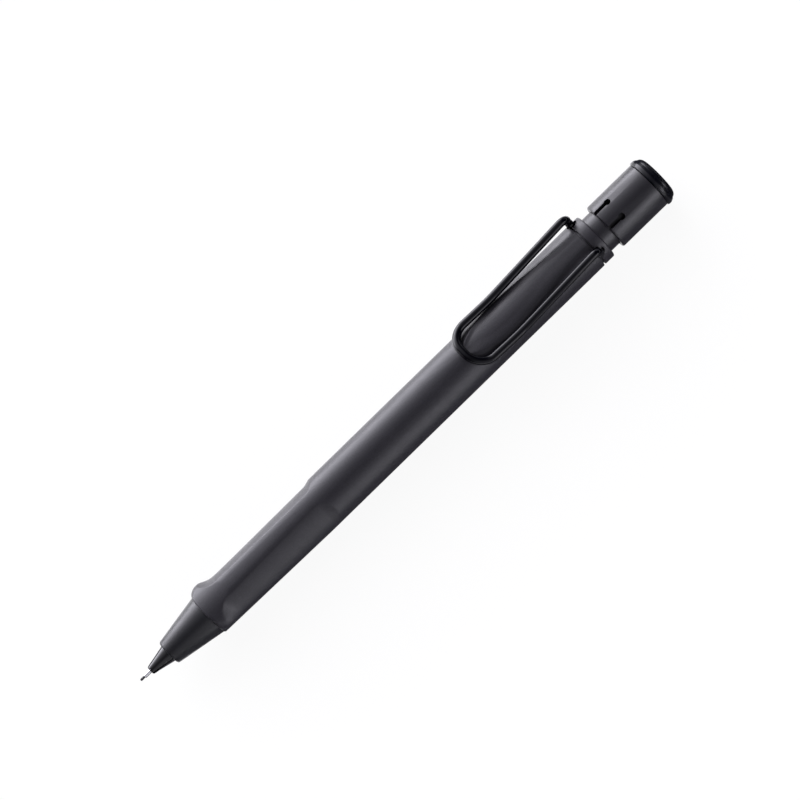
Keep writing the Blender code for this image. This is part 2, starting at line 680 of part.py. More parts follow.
def make_mechanism(materials, parent):
    """Chuck, ring, sleeve, spring, coupler and lead tube."""
    chuck = [
        (chuck_front, lead_way),
        (chuck_front, CHUCK_HEAD_RADIUS),
        (chuck_taper_front, CHUCK_HEAD_RADIUS),
        (chuck_taper_back, CHUCK_NECK_RADIUS),
        (chuck_taper_back, CHUCK_STEM_RADIUS),
        (chuck_back, CHUCK_STEM_RADIUS),
        (chuck_back, stem_bore),
        (chuck_taper_back, stem_bore),
        (chuck_taper_back, lead_way),
    ]
    jaws = turned("chuck", chuck, materials["brass"], parent, INNER_SIDES)
    for jaw in range(CHUCK_JAWS):
        angle = 2 * math.pi * jaw / CHUCK_JAWS
        cut(jaws, make_slot_cutter(f"jaw_cutter_{jaw + 1}", angle, materials["brass"], parent))
    drop = share_between(ring_front, chuck_taper_front, chuck_taper_back)
    taper_there = CHUCK_HEAD_RADIUS + (CHUCK_NECK_RADIUS - CHUCK_HEAD_RADIUS) * drop
    ring_bore = taper_there + FINE_GAP
    ring = [
        (ring_front, ring_bore),
        (ring_front, ring_radius),
        (ring_back, ring_radius),
        (ring_back, ring_bore),
    ]
    turned("chuck_ring", ring, materials["brass"], parent, INNER_SIDES)
    sleeve = [
        (sleeve_front, sleeve_bore),
        (sleeve_front, sleeve_radius),
        (sleeve_flange_front, sleeve_radius),
        (sleeve_flange_front, sleeve_flange_radius),
        (sleeve_flange_back, sleeve_flange_radius),
        (sleeve_flange_back, sleeve_radius),
        (sleeve_back, sleeve_radius),
        (sleeve_back, sleeve_bore),
        (sleeve_web_back, sleeve_bore),
        (sleeve_web_back, stem_way),
        (sleeve_web_front, stem_way),
        (sleeve_web_front, sleeve_bore),
    ]
    turned("cartridge_sleeve", sleeve, materials["moulding"], parent, INNER_SIDES)
    make_spring(materials["steel"], parent)
    stem_socket = CHUCK_STEM_RADIUS + FINE_GAP
    coupler = [
        (coupler_front, stem_socket),
        (coupler_front, coupler_flange_radius),
        (coupler_body_front, coupler_flange_radius),
        (coupler_body_front, coupler_radius),
        (coupler_back, coupler_radius),
        (coupler_back, tube_seat),
        (tube_front - SEAT_GAP, tube_seat),
        (tube_front - SEAT_GAP, stem_bore),
        (chuck_back + SEAT_GAP, stem_bore),
        (chuck_back + SEAT_GAP, stem_socket),
    ]
    turned("chuck_coupler", coupler, materials["moulding"], parent, INNER_SIDES)
    tube = [
        (tube_front, TUBE_BORE_RADIUS),
        (tube_front, tube_radius),
        (tube_back, tube_radius),
        (tube_back, TUBE_BORE_RADIUS),
    ]
    turned("lead_tube", tube, materials["moulding"], parent, INNER_SIDES)


def make_spare_leads(material, parent):
    """Leads side by side on the floor of the lead tube."""
    orbit = TUBE_BORE_RADIUS - lead_radius - SLIDE_GAP
    outline = [(0, 0), (0, lead_radius), (LEAD_LENGTH, lead_radius), (LEAD_LENGTH, 0)]
    for number in range(SPARE_LEADS):
        angle = math.pi + SPARE_LEAD_SPREAD * (number - (SPARE_LEADS - 1) / 2)
        lead = turned(f"spare_lead_{number + 1}", outline, material, parent, SMALL_SIDES, closed=False)
        lead.location = round_the_axis(tube_front + END_GAP, orbit, angle)


def make_top(materials, parent):
    """Collar, plunger, cap, button and what is under the button."""
    collar = [
        (collar_front, spigot_radius + FIT_GAP),
        (collar_front, collar_radius),
        (collar_back, collar_radius, COLLAR_EDGE_ROUND),
        (collar_back, top_bore),
        (collar_back - COLLAR_LIP, top_bore),
        (collar_back - COLLAR_LIP, spigot_radius + FIT_GAP),
    ]
    collar_piece = turned("collar", collar, materials["charcoal"], parent)
    tube_seat_back = tube_back + SEAT_GAP
    stem_seat = TUBE_BORE_RADIUS
    plunger = [
        (plunger_front, tube_seat),
        (plunger_front, plunger_nose_radius),
        (plunger_shoulder, plunger_nose_radius),
        (plunger_shoulder, neck_radius),
        (waist_front, neck_radius),
        (waist_front, waist_radius),
        (waist_back, waist_radius),
        (waist_back, neck_radius),
        (plunger_back, neck_radius, CAP_EDGE_ROUND),
        (plunger_back, eraser_seat),
        (eraser_front - SEAT_GAP / 2, eraser_seat),
        (eraser_front - SEAT_GAP / 2, plug_seat),
        (plug_front - SEAT_GAP, plug_seat),
        (plug_front - SEAT_GAP, stem_seat),
        (tube_seat_back, stem_seat),
        (tube_seat_back, tube_seat),
    ]
    turned("plunger", plunger, materials["charcoal"], parent)
    eraser = [
        (eraser_front, 0),
        (eraser_front, ERASER_RADIUS),
        (eraser_back, ERASER_RADIUS, ERASER_EDGE_ROUND),
        (eraser_back, 0),
    ]
    turned("eraser", eraser, materials["eraser"], parent, INNER_SIDES, closed=False)
    needle_seat = needle_radius + FINE_GAP
    plug = [
        (needle_back + SEAT_GAP, 0),
        (needle_back + SEAT_GAP, needle_seat),
        (plug_stem_front, needle_seat),
        (plug_stem_front, plug_stem_radius),
        (plug_front, plug_stem_radius),
        (plug_front, PLUG_RADIUS),
        (plug_back, PLUG_RADIUS),
        (plug_back, 0),
    ]
    turned("needle_plug", plug, materials["moulding"], parent, INNER_SIDES, closed=False)
    needle = [
        (needle_front, 0),
        (needle_front, needle_radius),
        (needle_back, needle_radius),
        (needle_back, 0),
    ]
    turned("cleaning_needle", needle, materials["steel"], parent, SMALL_SIDES, closed=False)
    cap = [
        (cap_front, cap_bore),
        (cap_front, cap_radius, CAP_EDGE_ROUND),
        (cap_back, cap_radius),
        (cap_back, cap_bore),
    ]
    cap_piece = turned("pusher_cap", cap, materials["charcoal"], parent)
    for number, side in enumerate((-1, 1)):
        angle = TONGUE_ANGLE + side * TONGUE_HALF_ANGLE
        cutter_name = f"keyhole_cutter_{number + 1}"
        cut(cap_piece, make_keyhole_cutter(cutter_name, angle, materials["charcoal"], parent))
    bead_front = cap_back + SEAT_GAP
    bead_back = cap_back + BEAD_LENGTH
    hollow = button_spigot_radius - BUTTON_WALL
    hollow_back = eraser_back + END_GAP
    button = [
        (hollow_back, 0),
        (hollow_back, hollow),
        (plunger_back + SEAT_GAP, hollow),
        (plunger_back + SEAT_GAP, button_spigot_radius),
        (bead_front, button_spigot_radius),
        (bead_front, BEAD_RADIUS, BEAD_ROUND),
        (bead_back, BEAD_RADIUS, BEAD_ROUND),
        (bead_back, dome_radius),
        (button_back, dome_radius, DOME_ROUND),
        (button_back, 0),
    ]
    turned("end_button", button, materials["gloss_black"], parent, closed=False)
    return collar_piece


def main():
    clear_scene()
    materials = {
        "charcoal": make_material("charcoal_plastic", (0.030, 0.030, 0.034), 0.5),
        "satin_black": make_material("satin_black_plastic", (0.012, 0.012, 0.014), 0.45),
        "gloss_black": make_material("gloss_black_plastic", (0.010, 0.010, 0.012), 0.25),
        "black_wire": make_material("black_wire", (0.008, 0.008, 0.010), 0.3, 0.4),
        "steel": make_material("steel", (0.62, 0.62, 0.64), 0.25, 1.0),
        "brass": make_material("brass", (0.72, 0.52, 0.22), 0.3, 1.0),
        "graphite": make_material("graphite", (0.04, 0.04, 0.045), 0.4),
        "rubber": make_material("rubber", (0.05, 0.05, 0.05), 0.8),
        "moulding": make_material("inner_moulding", (0.25, 0.25, 0.27), 0.5),
        "eraser": make_material("eraser_vinyl", (0.80, 0.80, 0.78), 0.75),
    }
    axis = make_empty("pencil_axis", (-mid_station, 0, axis_height))
    barrel = make_barrel(materials["charcoal"], axis)
    cut(barrel, make_scoop_cutter(materials["charcoal"], axis))
    make_point(materials, axis)
    make_mechanism(materials, axis)
    make_spare_leads(materials["graphite"], axis)
    collar = make_top(materials, axis)
    for number, side in enumerate((-1, 1)):
        name = f"hook_cutter_{number + 1}"
        hook_cutter = make_hook_cutter(name, side * HOOK_ANGLE, materials["charcoal"], axis)
        cut(barrel, hook_cutter)
        cut(collar, hook_cutter)
    pivot = Vector((hook_station, 0, wire_path_radius * math.cos(HOOK_ANGLE)))
    make_clip(materials["black_wire"], axis, pivot)


main()
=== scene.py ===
"""Looks of the mechanical pencil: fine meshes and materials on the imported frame, seen as in the photograph.

Stations are distances along the pencil's axis, from the open end of the guide pipe towards the button.
Angles round the axis are measured from the clip, positive towards -Y. Outlines of turned pieces are
(station, radius) corners, and a third number on a corner is the radius that rounds it.
"""

import json
import math

import bmesh
import bpy
import numpy as np
from mathutils import Matrix, Vector


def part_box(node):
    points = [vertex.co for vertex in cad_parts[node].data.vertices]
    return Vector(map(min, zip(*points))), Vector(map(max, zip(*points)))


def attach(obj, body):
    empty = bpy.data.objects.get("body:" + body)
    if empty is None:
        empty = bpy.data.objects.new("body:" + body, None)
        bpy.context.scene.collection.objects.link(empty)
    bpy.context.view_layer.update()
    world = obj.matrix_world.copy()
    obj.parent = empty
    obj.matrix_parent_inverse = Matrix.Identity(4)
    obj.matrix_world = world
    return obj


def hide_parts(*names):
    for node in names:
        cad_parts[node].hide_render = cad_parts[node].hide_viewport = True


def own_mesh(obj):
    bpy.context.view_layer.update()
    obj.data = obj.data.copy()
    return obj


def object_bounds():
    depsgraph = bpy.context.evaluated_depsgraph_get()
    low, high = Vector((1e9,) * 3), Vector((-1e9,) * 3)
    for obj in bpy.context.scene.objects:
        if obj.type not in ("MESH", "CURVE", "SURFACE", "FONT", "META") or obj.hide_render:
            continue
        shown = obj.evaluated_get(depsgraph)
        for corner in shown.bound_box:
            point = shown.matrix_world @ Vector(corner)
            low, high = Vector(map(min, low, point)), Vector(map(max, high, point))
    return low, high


MM = 0.001

# Fineness of the meshes
SIDES = 224
BARREL_SIDES = 360
CUTTER_SIDES = 72
FILLET_STEPS = 7
HOOK_STEPS = 21
LOOP_STEPS = 28
SPRING_STEPS = 36
WIRE_RESOLUTION = 7
BEVEL_SEGMENTS = 3
RIM_RINGS = 8
LIP_FRONT_RINGS = 16
LIP_TAIL_RINGS = 26
FACET_RINGS = 30
FACET_RAMP_RINGS = 26
PLAIN_RINGS = 12
SCOOP_ENTRY_RINGS = 60
SCOOP_EXIT_RINGS = 44
SCOOP_COLUMNS = 29  # from the middle of the scoop to its edge
MERGE = 1e-9
SHARP_ANGLE = math.radians(34)

# Edges and seams
EDGE_ROUND = 0.09 * MM
CUT_EDGE_ROUND = 0.05 * MM
SEAM_ROUND = 0.12 * MM
SEAM_OPENING = 0.08 * MM  # the seam is that much wider on the collar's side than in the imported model

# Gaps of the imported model
SEAT_GAP = 0.05 * MM
FIT_GAP = 0.05 * MM

# Point
LEAD_RADIUS = 0.25 * MM
LEAD_WAY = 0.28 * MM
PIPE_RADIUS = 0.40 * MM
PIPE_EDGE_ROUND = 0.05 * MM
PIPE_SEAT = 0.43 * MM
TIP_FRONT_RADIUS = 0.88 * MM
TIP_BACK_RADIUS = 2.0 * MM
TIP_CONE_LENGTH = 4.84 * MM
TIP_EDGE_ROUND = 0.28 * MM
TIP_FLANGE_FRONT = 11.92 * MM
TIP_FLANGE_BACK = 13.12 * MM
TIP_FLANGE_RADIUS = 2.6 * MM
TIP_SPIGOT_RADIUS = 2.15 * MM
CHUCK_CAVITY_RADIUS = 1.75 * MM
BRAKE_SEAT_RADIUS = 1.2 * MM
NOSE_FRONT_RADIUS = 2.7 * MM
NOSE_BACK_RADIUS = 4.48 * MM
NOSE_EDGE_ROUND = 0.5 * MM
NOSE_GAP = 0.02 * MM
NOSE_STEP_DEPTH = 5.4 * MM
NOSE_BORE_RADIUS = 2.7 * MM
NOSE_SPIGOT_RADIUS = 3.6 * MM

# Barrel and its grip
BARREL_RADIUS = 5.19 * MM
BARREL_BACK = 119.03 * MM
BARREL_BORE_RADIUS = 3.0 * MM
FRONT_BORE_RADIUS = 3.7 * MM
FRONT_BORE_BACK = 27.82 * MM
TOP_BORE_RADIUS = 4.25 * MM
TOP_BORE_FRONT = 114.65 * MM
SPIGOT_RADIUS = 4.70 * MM
GRIP_TAPER = 0.45 * MM
GRIP_TAPER_LENGTH = 28.9 * MM
RIM_ROUND_LENGTH = 0.4 * MM
RIM_STANDOUT = 0.06 * MM
FACET_ANGLE = math.radians(55.5)
FACET_CURVE = 9.0 * MM
FACET_FRONT_DEPTH = 0.68 * MM
FACET_BACK_DEPTH = 0.5 * MM
FACET_END = 32.05 * MM
FACET_RAMP_LENGTH = 2.2 * MM
FACET_RISE_START = 4.35 * MM
FACET_RISE_SLOPE = 0.36
FACET_RISE_LIP_SLOPE = 0.55
FACET_RISE_ROUND = 0.8 * MM
FACET_RISE_SWEEP = 0.4 * MM
FACET_SWEEP_START = math.radians(35)
FACET_SWEEP_END = math.radians(75)
TOP_CURVE = 8.0 * MM
TOP_DEPTH = 0.065 * MM
LIP_ANGLE = math.radians(70)
LIP_END_ANGLE = math.radians(95)
LIP_HEIGHT = 0.93 * MM
LIP_PEAK = 1.97 * MM
LIP_TAIL_LENGTH = 4.7 * MM
LIP_FULLNESS = 1.15
GRIP_TURN = math.radians(3.5)  # the grip's own plane from the clip's, as in the photograph
CREASE_ROUND = 0.03 * MM
LIP_ROUND = 0.12 * MM

# Scoop in the barrel under the clip
SCOOP_DEEPEST = 98.0 * MM
SCOOP_ENTRY_LENGTH = 10.6 * MM
SCOOP_EXIT_LENGTH = 19.0 * MM
SCOOP_DEPTH = 0.68 * MM
SCOOP_EXIT_DEPTH = 0.17 * MM
SCOOP_HALF_WIDTH = 3.82 * MM
SCOOP_EXIT_HALF_WIDTH = 1.7 * MM
SCOOP_CURVE = 6.5 * MM
SCOOP_POINTEDNESS = 0.85
SCOOP_SIDE_WIDTH = 0.95 * MM
SCOOP_FAR_SIDE_WIDTH = 2.4 * MM
SCOOP_EDGE_COLUMN = SCOOP_COLUMNS * 2 * math.pi / BARREL_SIDES
SCOOP_LEAST_EDGE = math.radians(2)

# Top
COLLAR_RADIUS = 5.14 * MM
COLLAR_LIP = 0.5 * MM
COLLAR_EDGE_ROUND = 0.35 * MM
NECK_RADIUS = 4.15 * MM
PLUNGER_LAND = 0.5 * MM
WAIST_RADIUS = 3.4 * MM
PLUNGER_SHOULDER = 116.85 * MM
PLUNGER_NOSE_RADIUS = 2.4 * MM
PLUNGER_EDGE_ROUND = 0.45 * MM
TUBE_SEAT_RADIUS = 1.75 * MM
STEM_SEAT_RADIUS = 1.25 * MM
PLUG_SEAT_RADIUS = 1.95 * MM
PLUG_SEAT_FRONT = 119.32 * MM
ERASER_RADIUS = 2.55 * MM
ERASER_SEAT_RADIUS = 2.6 * MM
ERASER_EDGE_ROUND = 0.3 * MM
CAP_RADIUS = 5.15 * MM
CAP_BORE_RADIUS = 4.25 * MM
CAP_EDGE_ROUND = 0.45 * MM
TONGUE_ANGLE = math.radians(4.7)
TONGUE_HALF_ANGLE = math.radians(23.4)
SLOT_WIDTH = 0.86 * MM
SLOT_LENGTH = 4.07 * MM
SLOT_EYE_DIAMETER = 1.4 * MM
BUTTON_SPIGOT_RADIUS = 4.2 * MM
BUTTON_HOLLOW_RADIUS = 3.0 * MM
BUTTON_HOLLOW_BACK = 133.22 * MM
BEAD_RADIUS = 5.46 * MM
BEAD_CROWN_LENGTH = 0.85 * MM
BEAD_LENGTH = 1.48 * MM
BEAD_ROUND = 0.4 * MM
BEAD_BACK_RADIUS = 5.14 * MM
DOME_RADIUS = 5.02 * MM
DOME_ROUND = 1.2 * MM

# Clip wire
WIRE_RADIUS = 0.85 * MM
WIRE_PATH_RADIUS = 6.14 * MM
LOOP_HALF = 4.52 * MM
LOOP_BEND = 3.9 * MM
LOOP_CURVE = 7.2 * MM
LOOP_LEAD_IN = 0.2 * MM
LOOP_ASIDE = 0.18 * MM
CLIP_TOP_HALF = 4.7 * MM
CLIP_TOP_HEIGHT = 6.45 * MM
CLIP_SADDLE = 98.0 * MM
CLIP_SADDLE_BEND = 25.0 * MM
HOOK_STATION = 119.6 * MM
HOOK_ANGLE = math.radians(50.5)
HOOK_HOLE_RADIUS = 1.2 * MM
HOOK_HOLE_SETBACK = 0.12 * MM
HOOK_SHIFT = 0.05 * MM
HOOK_BEND = 1.55 * MM
HOOK_END_RADIUS = 4.35 * MM

# Return spring
SPRING_WIRE_RADIUS = 0.2 * MM
SPRING_RADIUS = 1.65 * MM
SPRING_TURNS = 7
SPRING_CLOSED_PITCH = 0.43 * MM

# Camera, as in the photograph
VIEW_ROUND_AXIS = math.radians(20.3)
AXIS_TILT = math.radians(44.30)
CAMERA_DISTANCE = 0.605
CAMERA_LENS = 141
CAMERA_SENSOR = 36
CAMERA_NEAREST = 0.01
AIM_STATION = 72.55 * MM
AIM_ASIDE = 3.79 * MM

# Light: brightness of the surroundings by their angle, in degrees, from the left over the top to the right
WORLD_GLOW = (
    (0, 12.0),
    (6, 11.0),
    (12, 9.0),
    (18, 7.9),
    (25, 6.7),
    (32, 5.0),
    (40, 3.2),
    (50, 1.75),
    (60, 1.15),
    (70, 0.96),
    (80, 0.64),
    (90, 0.43),
    (105, 0.22),
    (120, 0.28),
    (135, 0.6),
    (150, 0.85),
    (179, 0.6),
)
LIGHT_TINT = (0.93, 0.92, 1.0)
LIGHT_NARROW = 0.34  # how far along the pencil a direction leans where the light starts to fade
LIGHT_END = 0.80
LIGHT_REMAINDER = 0.05
LIGHT_LEAN = 0.1  # how far the light leans towards the point
STRIP_PLACE = (0.25, -0.5, 0.15)
STRIP_AIM = (0, 0, 0.01)
STRIP_SIZE = (0.54, 0.19)
STRIP_RADIANCE = 3.4

# Floor, and the dark sheets on it that only reflections show, which paint shade and dark reflections: name,
# two corners, rise, colour
FLOOR_REACH = 3
FLOOR_COLOUR = (0.93, 0.93, 0.93)
FLOOR_CAMERA_GLOW = 0.92
FLOOR_CAMERA_COLOUR = (0.095, 0.095, 0.093)
PAPER_CLOUD_SIZE = 0.3
PAPER_SHADE = 0.99
PAINTED_REFLECTION_SHEETS = (
    # painted shadow: the floor beside the pencil darkened as if by its shadow, seen only in reflections
    ("painted_shadow_sheet", (-0.5, -0.034), (0.5, -0.004), 0.1 * MM, (0.42, 0.42, 0.43)),
    # painted dark reflections: black sheets that only darken the reflections on the button and on the point
    ("button_painted_reflection", (0.0702, -0.09), (0.2, 0.09), 0.2 * MM, (0.06, 0.06, 0.062)),
    ("point_painted_reflection", (-0.11, -0.09), (-0.0672, 0.03), 0.2 * MM, (0.06, 0.06, 0.062)),
)

# Colours of the finishes
CHARCOAL = (0.0146, 0.0134, 0.0184)
SMOOTH_CHARCOAL = (0.0102, 0.0095, 0.0132)
SATIN_BLACK = (0.0036, 0.0038, 0.0062)
GLOSS_BLACK = (0.0022, 0.0022, 0.0034)
BUTTON_BLACK = (0.0026, 0.0028, 0.0052)
MOULDING_GREY = (0.24, 0.24, 0.26)
LACQUER_DARK = (0.0009, 0.0009, 0.0022)
LACQUER_LIGHT = (0.0014, 0.0014, 0.0032)
DRAWN_STEEL = (0.56, 0.56, 0.58)
GROUND_STEEL_DARK = (0.72, 0.72, 0.74)
GROUND_STEEL_LIGHT = (0.80, 0.80, 0.82)
# painted shade: a near-black edge tint that darkens the steel's reflections where it turns away
GROUND_STEEL_PAINTED_EDGE_SHADE = (0.02, 0.02, 0.02, 1.0)
BRASS = (0.70, 0.50, 0.21)
GRAPHITE_DARK = (0.030, 0.030, 0.033)
GRAPHITE_LIGHT = (0.060, 0.060, 0.064)
RUBBER_DARK = (0.030, 0.030, 0.031)
RUBBER_LIGHT = (0.045, 0.045, 0.046)
VINYL_DARK = (0.74, 0.74, 0.72)
VINYL_LIGHT = (0.80, 0.80, 0.78)

# Textures of the finishes
NOISE_LOW = 0.3  # most of a noise lies between these two
NOISE_HIGH = 0.7
CLOUD_DETAIL = 2.0
GRAIN_DETAIL = 4.0
GRAIN_STRENGTH = 0.6
PLASTIC_CLOUD_SIZE = 4.0 * MM
PLASTIC_GLOSS_SPREAD = 0.03
STREAK_DETAIL = 2.0
STREAK_ROUND = 0.08  # streaks run round a turned or drawn piece
METAL_SHADE = 0.88
METAL_SHINE = 1.04
METAL_GLOSS_SPREAD = 0.06
LACQUER_CLOUD_SIZE = 3.0 * MM
PEEL_SIZE = 0.5 * MM
PEEL_DETAIL = 1.5
GRAPHITE_STREAK_LENGTHWISE = 0.15  # streaks run along a lead
GRAPHITE_DETAIL = 3.0
BLOOM_SIZE = 0.12 * MM
BLOOM_DETAIL = 5.0
BLOOM_GLOSS_SPREAD = 0.06
VINYL_CLOUD_SIZE = 1.6 * MM
VINYL_CLOUD_DETAIL = 3.0

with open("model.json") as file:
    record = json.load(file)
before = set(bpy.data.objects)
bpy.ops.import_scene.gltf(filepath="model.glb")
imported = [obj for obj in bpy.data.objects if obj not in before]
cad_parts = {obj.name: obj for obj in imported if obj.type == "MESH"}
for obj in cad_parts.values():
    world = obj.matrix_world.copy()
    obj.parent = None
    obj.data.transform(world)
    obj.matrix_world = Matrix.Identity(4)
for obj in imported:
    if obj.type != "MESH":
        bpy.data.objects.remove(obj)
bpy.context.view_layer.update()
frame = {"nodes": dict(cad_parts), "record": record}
pipe_low, pipe_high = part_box("guide_pipe")
POINT = Vector((pipe_low.x, (pipe_low.y + pipe_high.y) / 2, (pipe_low.z + pipe_high.z) / 2))


def front(node):
    """Station of a CAD node's end nearest the point."""
    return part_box(node)[0].x - POINT.x


def back(node):
    """Station of a CAD node's end nearest the button."""
    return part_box(node)[1].x - POINT.x


barrel_front = front("barrel")


def finished_mesh(name, bm):
    """The mesh of a closed form, shaded smooth between its sharp edges."""
    bmesh.ops.remove_doubles(bm, verts=bm.verts, dist=MERGE)
    bmesh.ops.recalc_face_normals(bm, faces=bm.faces)
    mesh = bpy.data.meshes.new(name)
    bm.to_mesh(mesh)
    bm.free()
    mesh.shade_smooth()
    mesh.set_sharp_from_angle(angle=SHARP_ANGLE)
    return mesh


def rounded(corners, steps=FILLET_STEPS):
    """A polyline's points, in two or three dimensions, with arcs at the corners that have a radius."""
    points = [corners[0][0]]
    for (before, _), (corner, radius), (after, _) in zip(corners, corners[1:], corners[2:]):
        if radius == 0:
            points.append(corner)
            continue
        behind = (before - corner).normalized()
        ahead = (after - corner).normalized()
        half = behind.angle(ahead) / 2
        centre = corner + (behind + ahead).normalized() * radius / math.sin(half)
        first = corner + behind * radius / math.tan(half) - centre
        last = corner + ahead * radius / math.tan(half) - centre
        turn = math.pi - 2 * half
        for step in range(steps + 1):
            share = step / steps
            spoke = first * math.sin((1 - share) * turn) + last * math.sin(share * turn)
            points.append(centre + spoke / math.sin(turn))
    points.append(corners[-1][0])
    return points


def turned(name, outline, sides=SIDES, closed=True):
    """A solid of revolution about the pencil's axis. An outline that isn't closed ends on the axis."""
    corners = [(Vector(corner[:2]), corner[2] if len(corner) > 2 else 0) for corner in outline]
    bm = bmesh.new()
    ring = [bm.verts.new((station, 0, radius)) for station, radius in rounded(corners)]
    edges = [bm.edges.new(pair) for pair in zip(ring, ring[1:])]
    if closed:
        edges.append(bm.edges.new((ring[-1], ring[0])))
    bmesh.ops.spin(
        bm,
        geom=ring + edges,
        cent=(0, 0, 0),
        axis=(1, 0, 0),
        angle=2 * math.pi,
        steps=sides,
        use_merge=True,
    )
    return finished_mesh(name, bm)


def extruded(name, outline, half_depth):
    """A prism of an outline in X and Z, as deep as twice half_depth along Y."""
    bm = bmesh.new()
    face = bm.faces.new([bm.verts.new((x, -half_depth, z)) for x, z in outline])
    sweep = bmesh.ops.extrude_face_region(bm, geom=[face])
    moved = [item for item in sweep["geom"] if isinstance(item, bmesh.types.BMVert)]
    bmesh.ops.translate(bm, verts=moved, vec=(0, 2 * half_depth, 0))
    return finished_mesh(name, bm)


def link(name, data):
    """A new object in the scene."""
    thing = bpy.data.objects.new(name, data)
    bpy.context.collection.objects.link(thing)
    return thing


def evaluated_mesh(thing):
    """The object's mesh with its modifiers applied. The object itself is removed."""
    graph = bpy.context.evaluated_depsgraph_get()
    mesh = bpy.data.meshes.new_from_object(thing.evaluated_get(graph))
    bpy.data.objects.remove(thing, do_unlink=True)
    return mesh


def cut_mesh(name, mesh, cutters, edge_round=0.0):
    """The mesh with the cutters taken out of it, and its sharp edges rounded."""
    thing = link(name + "_blank", mesh)
    for cutter in cutters:
        boolean = thing.modifiers.new(cutter.name, "BOOLEAN")
        boolean.operation = "DIFFERENCE"
        boolean.object = cutter
    if edge_round:
        bevel = thing.modifiers.new("edges", "BEVEL")
        bevel.width = edge_round
        bevel.segments = BEVEL_SEGMENTS
        bevel.limit_method = "ANGLE"
        bevel.angle_limit = SHARP_ANGLE
    made = evaluated_mesh(thing)
    made.name = name
    made.shade_smooth()
    made.set_sharp_from_angle(angle=SHARP_ANGLE)
    return made


def wire_mesh(name, points, radius):
    """A round wire along a list of points."""
    curve = bpy.data.curves.new(name, "CURVE")
    curve.dimensions = "3D"
    curve.bevel_depth = radius
    curve.bevel_resolution = WIRE_RESOLUTION
    curve.use_fill_caps = True
    spline = curve.splines.new("POLY")
    spline.points.add(len(points) - 1)
    for knot, point in zip(spline.points, points):
        knot.co = (*point, 1.0)
    mesh = evaluated_mesh(link(name + "_path", curve))
    mesh.shade_smooth()
    mesh.set_sharp_from_angle(angle=SHARP_ANGLE)
    return mesh


def round_the_axis(station, radius, angle):
    """A point at a radius and an angle round the pencil's axis."""
    return Vector((station, -radius * math.sin(angle), radius * math.cos(angle)))


def share_between(value, start, end):
    """How much of the way from start to end a value has gone, from 0 to 1."""
    return np.clip((value - start) / (end - start), 0.0, 1.0)


def eased(share):
    """A share of a way that starts and ends gently."""
    return share**2 * (3 - 2 * share)


def lower_of(first, second, blend):
    """The smaller of two lengths, with the crease where they cross rounded off."""
    return (first + second - np.sqrt((first - second) ** 2 + blend**2)) / 2


def arc_distance(angle, crown_angle, crown, curve):
    """Distance from the axis to an arc of radius curve, which comes nearest, to crown, at crown_angle."""
    offset = curve - crown
    turn = angle - crown_angle
    return np.sqrt(curve**2 - (offset * np.sin(turn)) ** 2) - offset * np.cos(turn)


def facet_crown(station, angle):
    """Distance from the axis to a finger facet's crown, which rises to the lip in a curve at its front."""
    lip_end = barrel_front + LIP_PEAK + LIP_TAIL_LENGTH
    facet_back = barrel_front + FACET_END
    along = share_between(station, lip_end, facet_back)
    depth = FACET_FRONT_DEPTH + (FACET_BACK_DEPTH - FACET_FRONT_DEPTH) * along
    ramp = share_between(station, facet_back - FACET_RAMP_LENGTH, facet_back)
    aside = eased(share_between(np.abs(angle), FACET_SWEEP_START, FACET_SWEEP_END))
    before = barrel_front + FACET_RISE_START + FACET_RISE_SWEEP * aside - station
    slope = FACET_RISE_SLOPE + (FACET_RISE_LIP_SLOPE - FACET_RISE_SLOPE) * aside
    rise = slope * (np.hypot(before, FACET_RISE_ROUND) + before) / 2
    return BARREL_RADIUS - depth * (1 - ramp**2) + rise


def lip_height(station, angle):
    """How far the finger lip at the front of a facet stands out."""
    peak = barrel_front + LIP_PEAK
    ahead = share_between(station, peak, barrel_front)
    behind = share_between(station, peak, peak + LIP_TAIL_LENGTH) ** LIP_FULLNESS
    under = share_between(np.abs(angle), LIP_ANGLE, LIP_END_ANGLE)
    fading = np.cos(behind * math.pi / 2) * np.cos(under * math.pi / 2)
    return LIP_HEIGHT * (1 - ahead**2) * fading**2


def scoop_section(station):
    """Depth of the scoop's middle and half of its width: both swell to the deepest place and then fade."""
    ahead = share_between(station, SCOOP_DEEPEST, SCOOP_DEEPEST - SCOOP_ENTRY_LENGTH)
    behind = share_between(station, SCOOP_DEEPEST, SCOOP_DEEPEST + SCOOP_EXIT_LENGTH)
    swell = 1 - ahead**2
    fade = np.sin(behind * math.pi / 2)
    depth = SCOOP_DEPTH * swell - (SCOOP_DEPTH - SCOOP_EXIT_DEPTH) * fade
    half_width = SCOOP_HALF_WIDTH * swell**SCOOP_POINTEDNESS
    half_width -= (SCOOP_HALF_WIDTH - SCOOP_EXIT_HALF_WIDTH) * fade**2
    return depth, half_width


def scooped(surface, station, angle):
    """The barrel's radius with the scoop taken out: a round floor, and sides that curve up out of it."""
    depth, half_width = scoop_section(station)
    centre = BARREL_RADIUS - depth - SCOOP_CURVE
    floor = centre * np.cos(angle) + np.sqrt(SCOOP_CURVE**2 - (centre * np.sin(angle)) ** 2)
    inside = half_width - np.abs(BARREL_RADIUS * np.sin(angle))
    side_width = np.where(angle > 0, SCOOP_FAR_SIDE_WIDTH, SCOOP_SIDE_WIDTH)
    side_width = np.minimum(side_width, half_width + MERGE)
    side = np.where(np.cos(angle) > 0, np.clip(inside / side_width, 0.0, 1.0), 0.0)
    return surface - (surface - floor) * side * (2 - side)


